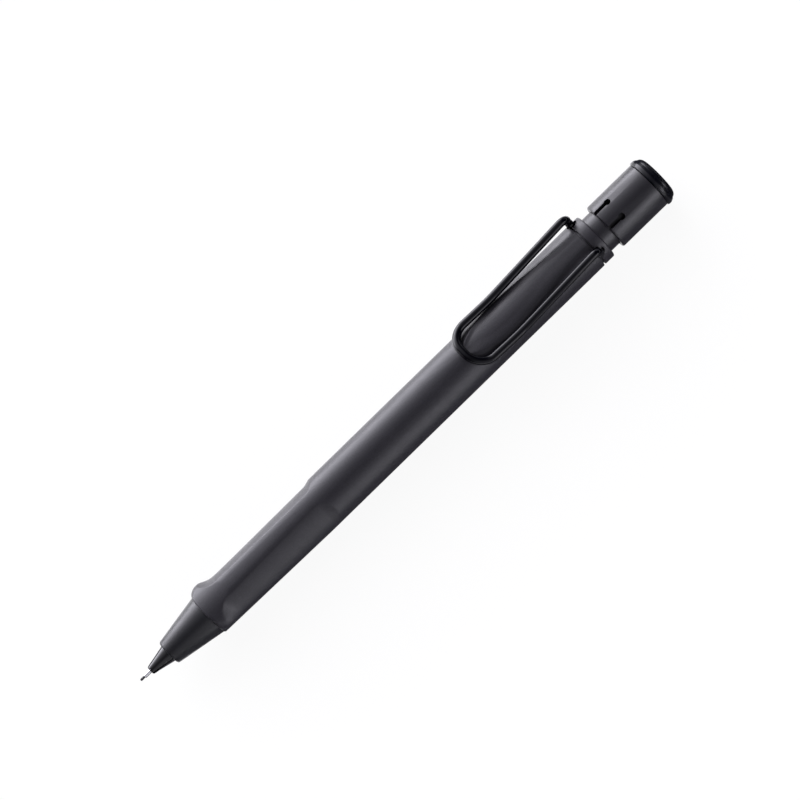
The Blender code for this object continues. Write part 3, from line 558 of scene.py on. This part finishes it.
def barrel_surface(station, angle):
    """Radius of the barrel's outside: a tapered round with two lips, under a flat top and two facets."""
    narrowing = 1 - share_between(station, barrel_front, barrel_front + GRIP_TAPER_LENGTH)
    body = BARREL_RADIUS - GRIP_TAPER * narrowing
    rim = 1 - share_between(station, barrel_front, barrel_front + RIM_ROUND_LENGTH)
    body = body - (body - NOSE_BACK_RADIUS - RIM_STANDOUT) * rim**2
    turned_angle = np.mod(angle + GRIP_TURN + math.pi, 2 * math.pi) - math.pi
    top = arc_distance(turned_angle, 0, body - TOP_DEPTH * narrowing, TOP_CURVE)
    facet = arc_distance(np.abs(turned_angle), FACET_ANGLE, facet_crown(station, turned_angle), FACET_CURVE)
    lips = lip_height(station, turned_angle)
    rounding = CREASE_ROUND * narrowing + LIP_ROUND * lips / LIP_HEIGHT
    surface = lower_of(lower_of(body + lips, top, rounding), facet, CREASE_ROUND)
    return scooped(surface, station, angle)


def ring_angles(station):
    """Angles of a barrel ring's points, drawn together so that one column follows the scoop's edge."""
    even = np.arange(BARREL_SIDES) * 2 * math.pi / BARREL_SIDES - math.pi
    _, half_width = scoop_section(station)
    edge = max(math.asin(half_width / BARREL_RADIUS), SCOOP_LEAST_EDGE)
    scoop_front = SCOOP_DEEPEST - SCOOP_ENTRY_LENGTH
    approach = share_between(station, scoop_front - SCOOP_ENTRY_LENGTH, scoop_front)
    edge = SCOOP_EDGE_COLUMN + (edge - SCOOP_EDGE_COLUMN) * approach
    known = (0, SCOOP_EDGE_COLUMN, math.pi / 2, math.pi)
    return np.copysign(np.interp(np.abs(even), known, (0, edge, math.pi / 2, math.pi)), even)


def barrel_stations():
    """Stations of the barrel's outer rings, close together where the surface turns quickly."""
    peak = barrel_front + LIP_PEAK
    lip_end = peak + LIP_TAIL_LENGTH
    facet_back = barrel_front + FACET_END
    ramp_front = facet_back - FACET_RAMP_LENGTH
    scoop_front = SCOOP_DEEPEST - SCOOP_ENTRY_LENGTH
    edge = BARREL_BACK - SEAM_ROUND
    runs = [
        (barrel_front, barrel_front + RIM_ROUND_LENGTH, RIM_RINGS),
        (barrel_front + RIM_ROUND_LENGTH, peak, LIP_FRONT_RINGS),
        (peak, lip_end, LIP_TAIL_RINGS),
        (lip_end, ramp_front, FACET_RINGS),
        (ramp_front, facet_back + EDGE_ROUND, FACET_RAMP_RINGS),
        (facet_back + EDGE_ROUND, scoop_front - EDGE_ROUND, PLAIN_RINGS),
        (scoop_front - EDGE_ROUND, SCOOP_DEEPEST, SCOOP_ENTRY_RINGS),
        (SCOOP_DEEPEST, edge, SCOOP_EXIT_RINGS),
    ]
    stations = []
    for first, last, count in runs:
        stations += [first + (last - first) * step / count for step in range(count)]
    return stations + [edge]


def make_barrel_mesh():
    """The barrel as a closed skin of rings, along its outside and back through its bores."""
    rings = []
    for station in barrel_stations():
        angles = ring_angles(station)
        rings.append((station, barrel_surface(np.float64(station), angles), angles))
    _, edge_surface, angles = rings[-1]
    for step in range(1, FILLET_STEPS + 1):
        turn = math.pi / 2 * step / FILLET_STEPS
        station = BARREL_BACK - SEAM_ROUND * (1 - math.sin(turn))
        rings.append((station, edge_surface - SEAM_ROUND * (1 - math.cos(turn)), angles))
    inside = [
        (BARREL_BACK, SPIGOT_RADIUS),
        (back("barrel"), SPIGOT_RADIUS),
        (back("barrel"), TOP_BORE_RADIUS),
        (TOP_BORE_FRONT, TOP_BORE_RADIUS),
        (TOP_BORE_FRONT, BARREL_BORE_RADIUS),
        (FRONT_BORE_BACK, BARREL_BORE_RADIUS),
        (FRONT_BORE_BACK, FRONT_BORE_RADIUS),
        (barrel_front, FRONT_BORE_RADIUS),
    ]
    even = ring_angles(barrel_front)
    rings += [(station, np.full(BARREL_SIDES, radius), even) for station, radius in inside]
    bm = bmesh.new()
    loops = []
    for station, radii, angles in rings:
        loop = [
            bm.verts.new(round_the_axis(station, radius, angle)) for radius, angle in zip(radii, angles)
        ]
        loops.append(loop)
    for loop, following in zip(loops, loops[1:] + loops[:1]):
        for side in range(BARREL_SIDES):
            beside = (side + 1) % BARREL_SIDES
            bm.faces.new((loop[side], loop[beside], following[beside], following[side]))
    return finished_mesh("barrel_mesh", bm)


def make_hook_cutter(side):
    """A round peg along a hook's way in, through the collar and the spigot under it."""
    depth = 2 * BARREL_RADIUS - NECK_RADIUS
    bm = bmesh.new()
    bmesh.ops.create_cone(
        bm,
        cap_ends=True,
        segments=CUTTER_SIDES,
        radius1=HOOK_HOLE_RADIUS,
        radius2=HOOK_HOLE_RADIUS,
        depth=depth,
    )
    bmesh.ops.translate(bm, verts=bm.verts, vec=(0, 0, NECK_RADIUS + depth / 2))
    cutter = link("hook_cutter", finished_mesh("hook_cutter", bm))
    cutter.location = (HOOK_STATION + HOOK_HOLE_SETBACK, 0, 0)
    cutter.rotation_euler = (side * HOOK_ANGLE, 0, 0)
    return cutter


def make_keyhole_cutter(side):
    """A keyhole-shaped bar right through the cap, for two slots opposite each other."""
    eye = SLOT_EYE_DIAMETER / 2
    half_width = SLOT_WIDTH / 2
    centre = SLOT_LENGTH - eye
    mouth = math.asin(half_width / eye)
    outline = [(-SLOT_WIDTH, half_width), (-SLOT_WIDTH, -half_width)]
    for step in range(CUTTER_SIDES):
        turn = math.pi + mouth + (2 * math.pi - 2 * mouth) * step / (CUTTER_SIDES - 1)
        outline.append((centre + eye * math.cos(turn), eye * math.sin(turn)))
    cutter = link("keyhole_cutter", extruded("keyhole_cutter", outline, 2 * BARREL_RADIUS))
    cutter.location = (front("pusher_cap"), 0, 0)
    cutter.rotation_euler = (TONGUE_ANGLE + side * TONGUE_HALF_ANGLE + math.pi / 2, 0, 0)
    return cutter


def half_of_clip(loop_half):
    """The wire's points on its -Y side, from its hook to the middle of the loop."""
    loop_station = front("clip") + WIRE_RADIUS
    hook_station = HOOK_STATION - HOOK_SHIFT
    hook_end = round_the_axis(hook_station, HOOK_END_RADIUS, HOOK_ANGLE)
    hole_mouth = round_the_axis(hook_station, WIRE_PATH_RADIUS, HOOK_ANGLE)
    hook_top = Vector((hook_station, -CLIP_TOP_HALF, CLIP_TOP_HEIGHT))
    saddle = Vector((CLIP_SADDLE, -loop_half, math.sqrt(WIRE_PATH_RADIUS**2 - loop_half**2)))
    plan = [
        (Vector((loop_station + LOOP_BEND + LOOP_LEAD_IN, -loop_half)), 0),
        (Vector((loop_station, -loop_half)), LOOP_BEND),
        (Vector((loop_station, 0)), 0),
    ]
    arch_centre = WIRE_PATH_RADIUS - LOOP_CURVE
    loop = []
    for station, across in rounded(plan, LOOP_STEPS):
        loop.append(Vector((station, across, arch_centre + math.sqrt(LOOP_CURVE**2 - across**2))))
    half_turn = (hook_top - saddle).angle(saddle - loop[0]) / 2
    saddle.z -= CLIP_SADDLE_BEND * (1 / math.cos(half_turn) - 1)
    hook = [(hook_end, 0), (hole_mouth, HOOK_BEND), (hook_top, HOOK_BEND), (saddle, CLIP_SADDLE_BEND)]
    return rounded(hook + [(loop[0], 0)], HOOK_STEPS) + loop[1:]


def make_clip_mesh():
    """The wire of both halves: its loop sits slightly aside of its hooks, as in the photograph."""
    one_half = half_of_clip(LOOP_HALF + LOOP_ASIDE)
    mirrored = half_of_clip(LOOP_HALF - LOOP_ASIDE)
    other_half = [Vector((point.x, -point.y, point.z)) for point in reversed(mirrored[:-1])]
    return wire_mesh("clip_mesh", one_half + other_half, WIRE_RADIUS)


def make_spring_mesh():
    """A coil whose first and last turns lie closed."""
    spring_front = front("return_spring")
    reach = back("return_spring") - spring_front - 2 * SPRING_WIRE_RADIUS
    open_pitch = (reach - 2 * SPRING_CLOSED_PITCH) / (SPRING_TURNS - 2)
    points = []
    for step in range(SPRING_TURNS * SPRING_STEPS + 1):
        turns = step / SPRING_STEPS
        opened = min(max(turns - 1, 0), SPRING_TURNS - 2)
        along = SPRING_CLOSED_PITCH * (turns - opened) + open_pitch * opened
        station = spring_front + SPRING_WIRE_RADIUS + along
        points.append(round_the_axis(station, SPRING_RADIUS, 2 * math.pi * turns))
    return wire_mesh("spring_mesh", points, SPRING_WIRE_RADIUS)


def make_meshes():
    """The fine mesh of every piece that replaces a CAD node, by the node's name."""
    lead_front, lead_back = front("lead"), back("lead")
    pipe_front, pipe_back = front("guide_pipe"), back("guide_pipe")
    tip_front, tip_back = front("tip_cone"), back("tip_cone")
    brake_front, brake_back = front("lead_brake"), back("lead_brake")
    nose_front, nose_back = front("nose_cone"), back("nose_cone")
    nose_shoulder = barrel_front - NOSE_GAP
    nose_step = nose_front + NOSE_STEP_DEPTH
    nose_front_bore = TIP_BACK_RADIUS + FIT_GAP
    seam_back = front("collar") + SEAM_OPENING
    collar_back = back("collar")
    plunger_front, plunger_back = front("plunger"), back("plunger")
    eraser_front, eraser_back = front("eraser"), back("eraser")
    cap_front, cap_back = front("pusher_cap"), back("pusher_cap")
    waist_front = cap_front + PLUNGER_LAND
    waist_back = waist_front + SLOT_LENGTH
    bead_front = cap_back + SEAT_GAP
    bead_crown_back = bead_front + BEAD_CROWN_LENGTH
    bead_back = bead_front + BEAD_LENGTH
    button_front, button_back = front("end_button"), back("end_button")
    spigot_seat = SPIGOT_RADIUS + FIT_GAP
    tube_seat_back = PLUNGER_SHOULDER + SEAT_GAP
    eraser_floor = eraser_front - SEAT_GAP / 2
    outlines = {
        "guide_pipe": [
            (pipe_front, LEAD_WAY, PIPE_EDGE_ROUND / 2),
            (pipe_front, PIPE_RADIUS, PIPE_EDGE_ROUND),
            (pipe_back, PIPE_RADIUS),
            (pipe_back, LEAD_WAY),
        ],
        "tip_cone": [
            (tip_front, PIPE_SEAT),
            (tip_front, TIP_FRONT_RADIUS, TIP_EDGE_ROUND),
            (tip_front + TIP_CONE_LENGTH, TIP_BACK_RADIUS),
            (TIP_FLANGE_FRONT, TIP_BACK_RADIUS),
            (TIP_FLANGE_FRONT, TIP_FLANGE_RADIUS),
            (TIP_FLANGE_BACK, TIP_FLANGE_RADIUS),
            (TIP_FLANGE_BACK, TIP_SPIGOT_RADIUS),
            (tip_back, TIP_SPIGOT_RADIUS),
            (tip_back, CHUCK_CAVITY_RADIUS),
            (brake_back + SEAT_GAP, CHUCK_CAVITY_RADIUS),
            (brake_back + SEAT_GAP, BRAKE_SEAT_RADIUS),
            (brake_front - SEAT_GAP, BRAKE_SEAT_RADIUS),
            (brake_front - SEAT_GAP, LEAD_WAY),
            (pipe_back + SEAT_GAP, LEAD_WAY),
            (pipe_back + SEAT_GAP, PIPE_SEAT),
        ],
        "nose_cone": [
            (nose_front, nose_front_bore),
            (nose_front, NOSE_FRONT_RADIUS, NOSE_EDGE_ROUND),
            (nose_shoulder, NOSE_BACK_RADIUS, NOSE_GAP),
            (nose_shoulder, NOSE_SPIGOT_RADIUS),
            (nose_back, NOSE_SPIGOT_RADIUS),
            (nose_back, NOSE_BORE_RADIUS),
            (nose_step, NOSE_BORE_RADIUS),
            (nose_step, nose_front_bore),
        ],
        "collar": [
            (seam_back, spigot_seat),
            (seam_back, COLLAR_RADIUS, SEAM_ROUND),
            (collar_back, COLLAR_RADIUS, COLLAR_EDGE_ROUND),
            (collar_back, TOP_BORE_RADIUS),
            (collar_back - COLLAR_LIP, TOP_BORE_RADIUS),
            (collar_back - COLLAR_LIP, spigot_seat),
        ],
        "plunger": [
            (plunger_front, TUBE_SEAT_RADIUS),
            (plunger_front, PLUNGER_NOSE_RADIUS),
            (PLUNGER_SHOULDER, PLUNGER_NOSE_RADIUS),
            (PLUNGER_SHOULDER, NECK_RADIUS, EDGE_ROUND),
            (waist_front, NECK_RADIUS),
            (waist_front, WAIST_RADIUS),
            (waist_back, WAIST_RADIUS),
            (waist_back, NECK_RADIUS),
            (plunger_back, NECK_RADIUS, PLUNGER_EDGE_ROUND),
            (plunger_back, ERASER_SEAT_RADIUS),
            (eraser_floor, ERASER_SEAT_RADIUS),
            (eraser_floor, PLUG_SEAT_RADIUS),
            (PLUG_SEAT_FRONT, PLUG_SEAT_RADIUS),
            (PLUG_SEAT_FRONT, STEM_SEAT_RADIUS),
            (tube_seat_back, STEM_SEAT_RADIUS),
            (tube_seat_back, TUBE_SEAT_RADIUS),
        ],
        "pusher_cap": [
            (cap_front, CAP_BORE_RADIUS),
            (cap_front, CAP_RADIUS, CAP_EDGE_ROUND),
            (cap_back, CAP_RADIUS, EDGE_ROUND),
            (cap_back, CAP_BORE_RADIUS),
        ],
    }
    on_axis = {
        "lead": [
            (lead_front, 0),
            (lead_front, LEAD_RADIUS, PIPE_EDGE_ROUND),
            (lead_back, LEAD_RADIUS),
            (lead_back, 0),
        ],
        "eraser": [
            (eraser_front, 0),
            (eraser_front, ERASER_RADIUS, EDGE_ROUND),
            (eraser_back, ERASER_RADIUS, ERASER_EDGE_ROUND),
            (eraser_back, 0),
        ],
        "end_button": [
            (BUTTON_HOLLOW_BACK, 0),
            (BUTTON_HOLLOW_BACK, BUTTON_HOLLOW_RADIUS),
            (button_front, BUTTON_HOLLOW_RADIUS),
            (button_front, BUTTON_SPIGOT_RADIUS),
            (bead_front, BUTTON_SPIGOT_RADIUS),
            (bead_front, BEAD_RADIUS, BEAD_ROUND),
            (bead_crown_back, BEAD_RADIUS, BEAD_ROUND),
            (bead_back, BEAD_BACK_RADIUS),
            (bead_back, DOME_RADIUS),
            (button_back, DOME_RADIUS, DOME_ROUND),
            (button_back, 0),
        ],
    }
    meshes = {node: turned(node + "_mesh", outline) for node, outline in outlines.items()}
    for node, outline in on_axis.items():
        meshes[node] = turned(node + "_mesh", outline, closed=False)
    hooks = [make_hook_cutter(side) for side in (-1, 1)]
    keyholes = [make_keyhole_cutter(side) for side in (-1, 1)]
    meshes["barrel"] = cut_mesh("barrel_cut", make_barrel_mesh(), hooks)
    meshes["collar"] = cut_mesh("collar_cut", meshes["collar"], hooks, CUT_EDGE_ROUND)
    meshes["pusher_cap"] = cut_mesh("cap_cut", meshes["pusher_cap"], keyholes, CUT_EDGE_ROUND)
    for cutter in hooks + keyholes:
        bpy.data.objects.remove(cutter, do_unlink=True)
    meshes["clip"] = make_clip_mesh()
    meshes["return_spring"] = make_spring_mesh()
    return meshes


class Surface:
    """A node material with a Principled shader, filled in step by step."""

    def __init__(self, name, **values):
        self.material = bpy.data.materials.new(name)
        self.material.use_nodes = True
        self.tree = self.material.node_tree
        self.shader = self.tree.nodes["Principled BSDF"]
        for socket, value in values.items():
            self.shader.inputs[socket.replace("_", " ")].default_value = value
        self.coords = self.tree.nodes.new("ShaderNodeTexCoord").outputs["Object"]

    def join(self, output, socket):
        self.tree.links.new(output, socket)

    def stretched(self, along, around):
        """Coordinates in which features are longer along the pencil where along is small."""
        mapping = self.tree.nodes.new("ShaderNodeMapping")
        mapping.inputs["Scale"].default_value = (along, around, around)
        self.join(self.coords, mapping.inputs["Vector"])
        return mapping.outputs["Vector"]

    def noise(self, size, detail, coords=None):
        """Noise with features about as large as size."""
        node = self.tree.nodes.new("ShaderNodeTexNoise")
        node.inputs["Scale"].default_value = 1 / size
        node.inputs["Detail"].default_value = detail
        self.join(coords or self.coords, node.inputs["Vector"])
        return node.outputs["Fac"]

    def ranged(self, noise, low, high):
        """A noise brought into the range from low to high."""
        node = self.tree.nodes.new("ShaderNodeMapRange")
        node.inputs["From Min"].default_value = NOISE_LOW
        node.inputs["From Max"].default_value = NOISE_HIGH
        node.inputs["To Min"].default_value = low
        node.inputs["To Max"].default_value = high
        self.join(noise, node.inputs["Value"])
        return node.outputs["Result"]

    def colour(self, noise, first, second):
        """Makes the colour wander between two with a noise."""
        factor = self.ranged(noise, 0.0, 1.0)
        node = self.tree.nodes.new("ShaderNodeMix")
        node.data_type = "RGBA"
        node.inputs["A"].default_value = (*first, 1.0)
        node.inputs["B"].default_value = (*second, 1.0)
        self.join(factor, node.inputs["Factor"])
        self.join(node.outputs["Result"], self.shader.inputs["Base Color"])

    def roughness(self, noise, low, high):
        self.join(self.ranged(noise, low, high), self.shader.inputs["Roughness"])

    def bump(self, noise, depth, strength):
        node = self.tree.nodes.new("ShaderNodeBump")
        node.inputs["Distance"].default_value = depth
        node.inputs["Strength"].default_value = strength
        self.join(noise, node.inputs["Height"])
        self.join(node.outputs["Normal"], self.shader.inputs["Normal"])


def shaded(colour, amount):
    """A colour made darker or lighter."""
    return tuple(channel * amount for channel in colour)


def moulded_plastic(name, colour, roughness, grain, depth, spread=0.12, specular=0.5):
    """Plastic with an eroded mould's fine grain, also in its colour, and a slight cloudiness in gloss."""
    surface = Surface(name, Specular_IOR_Level=specular)
    grainy = surface.noise(grain, GRAIN_DETAIL)
    cloudy = surface.noise(PLASTIC_CLOUD_SIZE, CLOUD_DETAIL)
    surface.colour(grainy, shaded(colour, 1 - spread), shaded(colour, 1 + spread))
    surface.roughness(cloudy, roughness - PLASTIC_GLOSS_SPREAD, roughness + PLASTIC_GLOSS_SPREAD)
    surface.bump(grainy, depth, GRAIN_STRENGTH)
    return surface.material


def drawn_metal(name, colour, roughness, streak):
    """Metal with fine streaks round it, as a drawn or turned piece has."""
    surface = Surface(name, Metallic=1.0)
    streaky = surface.noise(streak, STREAK_DETAIL, surface.stretched(1.0, STREAK_ROUND))
    surface.colour(streaky, shaded(colour, METAL_SHADE), shaded(colour, METAL_SHINE))
    surface.roughness(streaky, roughness - METAL_GLOSS_SPREAD, roughness + METAL_GLOSS_SPREAD)
    surface.bump(streaky, depth=0.002 * MM, strength=0.4)
    return surface.material


def steel_with_painted_edge_shade(name, streak):
    """Ground steel, with shade painted into its near-black edge tint, so that it is darker where it turns
    away.
    """
    surface = Surface(name, Metallic=1.0, Specular_Tint=GROUND_STEEL_PAINTED_EDGE_SHADE)
    streaky = surface.noise(streak, STREAK_DETAIL, surface.stretched(1.0, STREAK_ROUND))
    surface.colour(streaky, GROUND_STEEL_DARK, GROUND_STEEL_LIGHT)
    surface.roughness(streaky, low=0.20, high=0.26)
    surface.bump(streaky, depth=0.0005 * MM, strength=0.2)
    return surface.material


def coated_wire(name):
    """Black lacquer on steel wire: glossy, with a trace of orange peel."""
    surface = Surface(name, Specular_IOR_Level=0.24)
    peel = surface.noise(PEEL_SIZE, PEEL_DETAIL)
    cloudy = surface.noise(LACQUER_CLOUD_SIZE, CLOUD_DETAIL)
    surface.colour(cloudy, LACQUER_DARK, LACQUER_LIGHT)
    surface.roughness(cloudy, low=0.06, high=0.09)
    surface.bump(peel, depth=0.005 * MM, strength=0.3)
    return surface.material


def graphite_lead(name, streak):
    """Graphite with a dull metallic sheen and streaks along the lead."""
    surface = Surface(name, Metallic=0.35)
    lengthwise = surface.stretched(GRAPHITE_STREAK_LENGTHWISE, 1.0)
    streaky = surface.noise(streak, GRAPHITE_DETAIL, lengthwise)
    surface.colour(streaky, GRAPHITE_DARK, GRAPHITE_LIGHT)
    surface.roughness(streaky, low=0.34, high=0.52)
    surface.bump(streaky, depth=0.006 * MM, strength=0.5)
    return surface.material


def soft_vinyl(name, first, second, roughness):
    """Eraser vinyl or brake rubber: matt, with a fine powdery bloom."""
    surface = Surface(name)
    powdery = surface.noise(BLOOM_SIZE, BLOOM_DETAIL)
    cloudy = surface.noise(VINYL_CLOUD_SIZE, VINYL_CLOUD_DETAIL)
    surface.colour(cloudy, first, second)
    surface.roughness(powdery, roughness - BLOOM_GLOSS_SPREAD, roughness + BLOOM_GLOSS_SPREAD)
    surface.bump(powdery, depth=0.02 * MM, strength=0.5)
    return surface.material


def make_materials():
    """The material of every finish, by the finish's name."""
    return {
        "charcoal": moulded_plastic(
            "charcoal_plastic", CHARCOAL, roughness=0.42, grain=0.26 * MM, depth=0.018 * MM, spread=0.3
        ),
        "charcoal_smooth": moulded_plastic(
            "charcoal_smooth_plastic",
            SMOOTH_CHARCOAL,
            roughness=0.36,
            grain=0.2 * MM,
            depth=0.006 * MM,
            spread=0.24,
        ),
        "satin_black": moulded_plastic(
            "satin_black_plastic", SATIN_BLACK, roughness=0.36, grain=0.14 * MM, depth=0.006 * MM
        ),
        "gloss_black": moulded_plastic(
            "gloss_black_plastic", GLOSS_BLACK, roughness=0.11, grain=0.20 * MM, depth=0.001 * MM
        ),
        "satin_button": moulded_plastic(
            "satin_button_plastic",
            BUTTON_BLACK,
            roughness=0.24,
            grain=0.12 * MM,
            depth=0.002 * MM,
            specular=0.3,
        ),
        "black_wire": coated_wire("black_wire_lacquer"),
        "steel": drawn_metal("drawn_steel", DRAWN_STEEL, roughness=0.28, streak=0.05 * MM),
        "pipe_steel": steel_with_painted_edge_shade("steel_with_painted_edge_shade", streak=0.05 * MM),
        "brass": drawn_metal("turned_brass", BRASS, roughness=0.30, streak=0.06 * MM),
        "graphite": graphite_lead("graphite_lead", streak=0.06 * MM),
        "rubber": soft_vinyl("brake_rubber", RUBBER_DARK, RUBBER_LIGHT, roughness=0.78),
        "eraser": soft_vinyl("eraser_vinyl", VINYL_DARK, VINYL_LIGHT, roughness=0.74),
        "moulding": moulded_plastic(
            "inner_moulding", MOULDING_GREY, roughness=0.46, grain=0.20 * MM, depth=0.006 * MM, spread=0.06
        ),
    }


NODE_FINISH = {
    "barrel": "charcoal",
    "collar": "charcoal",
    "plunger": "charcoal_smooth",
    "pusher_cap": "charcoal_smooth",
    "nose_cone": "satin_black",
    "tip_cone": "gloss_black",
    "end_button": "satin_button",
    "clip": "black_wire",
    "guide_pipe": "pipe_steel",
    "return_spring": "steel",
    "cleaning_needle": "steel",
    "chuck": "brass",
    "chuck_ring": "brass",
    "lead": "graphite",
    "spare_lead_1": "graphite",
    "spare_lead_2": "graphite",
    "spare_lead_3": "graphite",
    "lead_brake": "rubber",
    "eraser": "eraser",
    "cartridge_sleeve": "moulding",
    "chuck_coupler": "moulding",
    "lead_tube": "moulding",
    "needle_plug": "moulding",
}


def dress(meshes, materials):
    """Puts each fine mesh in its node's place and gives every other node its finish."""
    body_of_node = {}
    for body, nodes in frame["record"]["behaviour"]["bodies"].items():
        for node in nodes:
            body_of_node[node] = body
    pieces = {}
    for node, finish in NODE_FINISH.items():
        if node not in meshes:
            frame["nodes"][node].data.materials.clear()
            frame["nodes"][node].data.materials.append(materials[finish])
            continue
        piece = link(node + "_fine", meshes[node])
        piece.data.materials.clear()
        piece.data.materials.append(materials[finish])
        piece.location = POINT
        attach(piece, body_of_node[node])
        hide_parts(node)
        pieces[node] = piece
    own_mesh(pieces["return_spring"])


def make_camera():
    """The photograph's camera: it looks down on the pencil, which lies slantwise across the picture."""
    towards = Vector((0, -math.sin(VIEW_ROUND_AXIS), math.cos(VIEW_ROUND_AXIS)))
    aside = Vector((0, math.cos(VIEW_ROUND_AXIS), math.sin(VIEW_ROUND_AXIS)))
    along = Vector((1, 0, 0))
    right = along * math.cos(AXIS_TILT) - aside * math.sin(AXIS_TILT)
    up = along * math.sin(AXIS_TILT) + aside * math.cos(AXIS_TILT)
    aim = POINT + along * AIM_STATION + aside * AIM_ASIDE
    place = aim + towards * CAMERA_DISTANCE
    camera = link("camera", bpy.data.cameras.new("camera"))
    camera.data.lens = CAMERA_LENS
    camera.data.sensor_width = CAMERA_SENSOR
    camera.data.clip_start = CAMERA_NEAREST
    turn = Matrix((right, up, towards)).transposed().to_4x4()
    camera.matrix_world = Matrix.Translation(place) @ turn
    bpy.context.scene.camera = camera


def make_lamp(name, place, aim, size, radiance):
    """A rectangular softbox. Its power is worked out from the brightness of its face."""
    data = bpy.data.lights.new(name, "AREA")
    data.shape = "RECTANGLE"
    data.size, data.size_y = size
    data.energy = math.pi * size[0] * size[1] * radiance
    data.color = LIGHT_TINT
    lamp = link(name, data)
    lamp.location = place
    lamp.rotation_euler = (Vector(aim) - Vector(place)).to_track_quat("-Z", "Y").to_euler()
    lamp.visible_camera = False


def make_sheet(name, low, high, height, colour):
    """A flat matt sheet, level with the floor."""
    corners = [(low[0], low[1]), (high[0], low[1]), (high[0], high[1]), (low[0], high[1])]
    mesh = bpy.data.meshes.new(name)
    mesh.from_pydata([(x, y, height) for x, y in corners], [], [(0, 1, 2, 3)])
    surface = Surface(name, Roughness=1.0, Specular_IOR_Level=0.0)
    cloudy = surface.noise(PAPER_CLOUD_SIZE, CLOUD_DETAIL)
    surface.colour(cloudy, colour, shaded(colour, PAPER_SHADE))
    mesh.materials.append(surface.material)
    sheet = link(name, mesh)
    return surface, sheet


def make_painted_reflection_sheet(name, low, high, height, colour):
    """A dark sheet that only reflections show: painted shade in reflections."""
    _, painted_sheet = make_sheet(name, low, high, height, colour)
    painted_sheet.visible_camera = False
    painted_sheet.visible_diffuse = False
    painted_sheet.visible_shadow = False


def math_node(tree, operation, *values):
    """Output of a Math node whose inputs are other outputs or plain numbers."""
    node = tree.nodes.new("ShaderNodeMath")
    node.operation = operation
    for socket, value in zip(node.inputs, values):
        if isinstance(value, bpy.types.NodeSocket):
            tree.links.new(value, socket)
        else:
            socket.default_value = value
    return node.outputs["Value"]


def make_floor(height):
    """White paper that glows to the camera and in reflections, so that its shadow is faint."""
    low, high = (-FLOOR_REACH, -FLOOR_REACH), (FLOOR_REACH, FLOOR_REACH)
    surface, _ = make_sheet("floor", low, high, height, FLOOR_COLOUR)
    path = surface.tree.nodes.new("ShaderNodeLightPath").outputs
    reflected = math_node(surface.tree, "MAXIMUM", path["Is Glossy Ray"], path["Is Transmission Ray"])
    glow = math_node(surface.tree, "MULTIPLY_ADD", path["Is Camera Ray"], FLOOR_CAMERA_GLOW, reflected)
    surface.join(glow, surface.shader.inputs["Emission Strength"])
    surface.shader.inputs["Emission Color"].default_value = (1.0, 1.0, 1.0, 1.0)
    dimming = surface.tree.nodes.new("ShaderNodeMix")
    dimming.data_type = "RGBA"
    dimming.inputs["B"].default_value = (*FLOOR_CAMERA_COLOUR, 1.0)
    paper = surface.shader.inputs["Base Color"].links[0].from_socket
    surface.join(path["Is Camera Ray"], dimming.inputs["Factor"])
    surface.join(paper, dimming.inputs["A"])
    surface.join(dimming.outputs["Result"], surface.shader.inputs["Base Color"])


def fill_ramp(ramp, brightest):
    """Puts the light's brightness into a colour ramp and takes away the white stop at its end."""
    stops = ramp.color_ramp.elements
    for number, (angle, radiance) in enumerate(WORLD_GLOW):
        stop = stops[0] if number == 0 else stops.new(math.radians(angle) / math.pi)
        stop.color = (*shaded(LIGHT_TINT, radiance / brightest), 1.0)
    stops.remove(stops[-1])


def make_world():
    """A broad light low on the left that fades towards a dark ceiling, and a faint glow on the right."""
    world = bpy.data.worlds.new("studio")
    world.use_nodes = True
    tree = world.node_tree
    brightest = max(radiance for _, radiance in WORLD_GLOW)
    coords = tree.nodes.new("ShaderNodeTexCoord")
    parts = tree.nodes.new("ShaderNodeSeparateXYZ")
    tree.links.new(coords.outputs["Generated"], parts.inputs["Vector"])
    rise = math_node(tree, "ARCTAN2", parts.outputs["Z"], parts.outputs["Y"])
    share = math_node(tree, "DIVIDE", rise, math.pi)
    ramp = tree.nodes.new("ShaderNodeValToRGB")
    fill_ramp(ramp, brightest)
    leaning = math_node(tree, "ADD", parts.outputs["X"], LIGHT_LEAN)
    lengthwise = math_node(tree, "ABSOLUTE", leaning)
    fading = tree.nodes.new("ShaderNodeMapRange")
    fading.interpolation_type = "SMOOTHSTEP"
    fading.inputs["From Min"].default_value = LIGHT_NARROW
    fading.inputs["From Max"].default_value = LIGHT_END
    fading.inputs["To Min"].default_value = brightest
    fading.inputs["To Max"].default_value = brightest * LIGHT_REMAINDER
    background = tree.nodes["Background"]
    tree.links.new(share, ramp.inputs["Fac"])
    tree.links.new(ramp.outputs["Color"], background.inputs["Color"])
    tree.links.new(lengthwise, fading.inputs["Value"])
    tree.links.new(fading.outputs["Result"], background.inputs["Strength"])
    bpy.context.scene.world = world


def make_studio():
    """Floor, the sheets of painted shade that only reflections show, and light."""
    floor_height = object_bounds()[0].z
    make_floor(floor_height)
    for name, low, high, rise, colour in PAINTED_REFLECTION_SHEETS:
        make_painted_reflection_sheet(name, low, high, floor_height + rise, colour)
    make_lamp("right_strip", STRIP_PLACE, STRIP_AIM, STRIP_SIZE, STRIP_RADIANCE)
    make_world()
    bpy.context.scene.view_settings.view_transform = "Standard"


dress(make_meshes(), make_materials())
make_camera()
make_studio()
